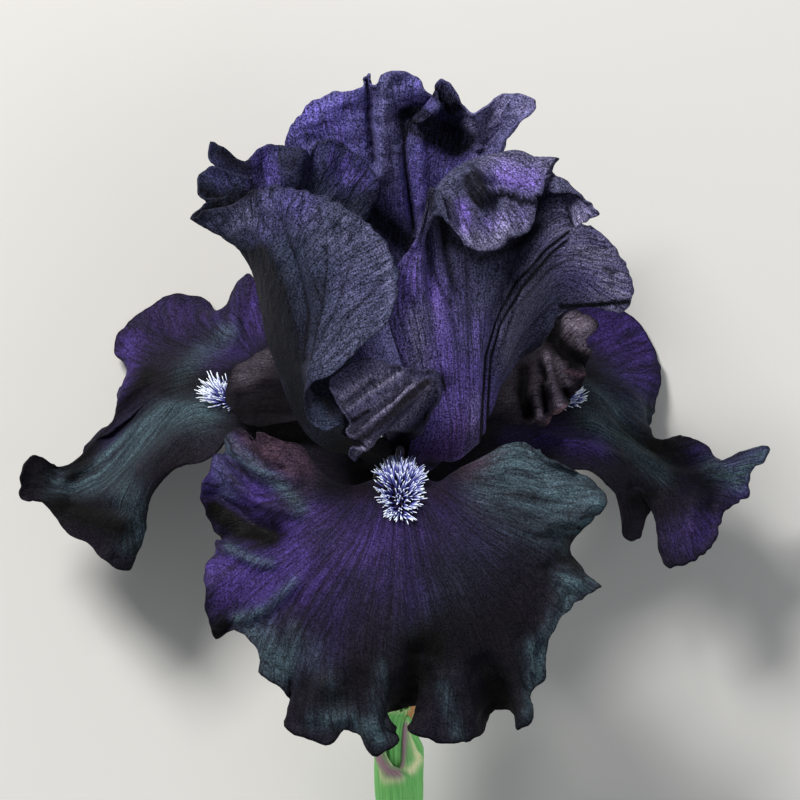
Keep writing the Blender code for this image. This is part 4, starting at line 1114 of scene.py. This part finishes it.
def leaf(name, stations, crown, seed, **masks):
    """A leaf around the stem from stations (height, left azimuth, right azimuth, radius).

    The crown raises or lowers its top by these shares of the way across and heights.
    """
    rows, columns = 110, 91
    table = np.array(stations, float)
    at = np.linspace(0, len(table) - 1, rows)
    height, left, right, radius = points_at(at, np.arange(len(table)), table).T
    across = np.linspace(0, 1, columns)
    top = np.interp(across, *zip(*crown))
    lift = np.clip((np.linspace(0, 1, rows) - 0.5) / 0.5, 0, 1)
    grid = np.array([
        [place(l + (r - l) * c, s, h + e * raised) for c, raised in zip(across, top)]
        for h, l, r, s, e in zip(height, left, right, radius, lift)
    ])
    push = 0.10 * np.sin(np.linspace(0, 26 * math.pi, columns))[None, :] + 0.16 * waves(grid, 9.0, seed)
    grid = grid + grid_normals(grid) * push[..., None]
    return sheet(name, grid, tints(grid, **masks), LEAF_THICKNESS)


EDGE_HALF = (0.1, 2, -1, 2)
NEAR_HALF = (-2, 0.2, -1, 2)
BRACT_SKIN = bract_material()
outer = leaf(
    "bract_outer_leaf",
    [(-89, -170, 40, 4.1), (-80, -168, 36, 4.6), (-70, -162, 32, 5.1), (-66, -158, 22, 5.3),
     (-64.4, -157, 2, 5.3), (-63.9, -156, -14, 5.3), (-63.0, -155, -22, 5.3), (-61.6, -153, -31, 5.3),
     (-59.9, -148, -38, 5.3), (-57, -130, -50, 5.3), (-54, -92, -72, 5.2)],
    [(0, 0), (1, 0)], 91,
    violet=[([(-5.2, -58.5), (-4.2, -61), (-2.4, -63.4), (-0.6, -63.8)], 1.3, 1.0, EDGE_HALF)],
    pale=[([(-5.6, -62.5), (-3, -65.4), (0, -65)], 0.9, 0.6, EDGE_HALF),
          ([(-3.2, -58), (-1.9, -62)], 0.35, 0.6, EDGE_HALF)])
finish_piece(outer, "bract_outer", BRACT_SKIN)
inner = leaf(
    "bract_inner_leaf",
    [(-89, 20, 190, 3.9), (-80, 10, 190, 4.3), (-70, 2, 186, 4.8), (-65.5, -4, 176, 4.9),
     (-63.8, 2, 150, 4.9), (-62.8, 6, 120, 4.8), (-61, 7, 78, 4.7), (-58, 9, 50, 4.6), (-55.5, 11, 37, 4.6),
     (-53.6, 15, 27, 4.6), (-52.9, 18, 22, 4.6)],
    [(0, 0), (1, 0)], 97,
    violet=[([(1.0, -53.6), (0.7, -58), (0.3, -62)], 0.8, 1.0, NEAR_HALF)],
    pale=[([(2.4, -53), (3, -57), (3.9, -61), (2.5, -63)], 0.9, 1.0, NEAR_HALF),
          ([(0.2, -62.6), (2, -63.6)], 0.8, 0.5)])
ragged = leaf(
    "bract_inner_tip",
    [(-80, -120, 130, 3.8), (-68, -118, 120, 3.9), (-60, -110, 105, 3.9), (-55, -90, 95, 4.0),
     (-52.5, -70, 92, 4.2), (-51.5, -45, 75, 4.3)],
    [(0, -2), (0.12, -1), (0.2, 0.4), (0.27, -0.5), (0.34, 0.1), (0.4, -0.6), (0.48, 0.2), (0.55, 0.1),
     (0.64, 0.9), (0.74, 2.0), (0.8, 2.2), (0.84, 0.2), (0.92, -1.2), (1, -3)], 98,
    brown=[([(3.0, -49.0), (2.4, -50.6), (1.8, -52)], 0.75, 1.0)],
    pale=[([(-2, -50.6), (2, -50.4)], 0.5, 0.4)])
only(inner)
ragged.select_set(True)
bpy.ops.object.join()
finish_piece(inner, "bract_inner", BRACT_SKIN)

stem = turned("stem_stalk", [
    (0, STEM_CUT), (2.9, STEM_CUT), (3.35, STEM_CUT + 0.15), (3.5, STEM_CUT + 0.6), (3.5, -110), (3.6, -97.5),
    (3.9, -95.4), (4.3, -94), (4.35, -93), (4.1, -91.4), (3.7, -89.5), (3.5, -88), (3.4, -60), (3.2, -49),
    (3.0, -48.6), (0, -48.5)], 0.008)
finish_piece(stem, "stem", plant_material(
    "stem skin", (0.10, 0.30, 0.07), (0.18, 0.46, 0.13), (0.42, 0.55, 0.26), 0.42))
tube = turned("perianth_tube_wall", [
    (0, -0.6), (5.4, -0.4), (6.1, -0.9), (5.9, -2.5), (4.9, -5.8), (4.2, -9.0), (3.5, -12.6), (3.2, -16.0),
    (3.1, -22.0), (3.9, -26.0), (4.6, -29.4), (4.9, -32.0), (5.0, -35), (4.9, -38.0), (4.2, -44.0),
    (3.4, -47.6), (3.35, -48.8), (3.2, -49.2), (0, -49.2)], 0.02)
# The tube's skin is very dark green: painted shade, as the tube lies in shadow under the falls.
finish_piece(tube, "perianth_tube", plant_material(
    "tube skin", (0.016, 0.030, 0.012), (0.035, 0.055, 0.022), (0.4, 0.5, 0.3), 0.5))

# The stamens are darkened: painted shade, so they sink into the shaded throat.
STAMEN_SKIN = plant_material(
    "stamen skin", (0.016, 0.013, 0.026), (0.040, 0.032, 0.055), (0.1, 0.1, 0.1), 0.6)
for node in ("stamen_front", "stamen_left", "stamen_right"):
    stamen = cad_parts[node].data
    stamen.materials.clear()
    stamen.materials.append(STAMEN_SKIN)


# ---- table, lights and camera

table, _ = primitive("table_top", bpy.ops.mesh.primitive_plane_add, size=6)
material, tree, shader = new_material("pale table")
fill(tree, shader, {"Base Color": (0.46, 0.455, 0.44), "Roughness": 0.7})
table.data.materials.append(material)


def area_light(name, spot, power, size, colour):
    lamp = bpy.data.lights.new(name, "AREA")
    lamp.energy, lamp.size, lamp.color = power, size, colour
    holder = in_scene(name, lamp)
    holder.location = Vector(spot)
    holder.rotation_euler = (-Vector(spot)).to_track_quat("-Z", "Y").to_euler()


area_light("key_softbox", (-0.55, 0.85, 0.95), 33, 0.40, (1.0, 0.98, 0.95))
area_light("fill_softbox", (0.9, -0.3, 0.9), 5, 0.9, (0.92, 0.96, 1.0))
world = bpy.data.worlds.new("studio")
world.use_nodes = True
fill(world.node_tree, world.node_tree.nodes["Background"], {"Color": (0.93, 0.96, 1.0), "Strength": 0.34})
bpy.context.scene.world = world

VIEW_WIDTH = 0.168
VIEW_DISTANCE = 2.6
VIEW_CENTRE = HUB + (0, 15.75, 25)
camera_data = bpy.data.cameras.new("camera")
camera_data.sensor_width = 36
camera_data.lens = camera_data.sensor_width * VIEW_DISTANCE / VIEW_WIDTH
camera_data.clip_end = 20
camera = in_scene("camera", camera_data)
camera.location = VIEW_CENTRE * MM + (0, 0, VIEW_DISTANCE)
bpy.context.scene.camera = camera
bpy.context.scene.view_settings.view_transform = "Standard"
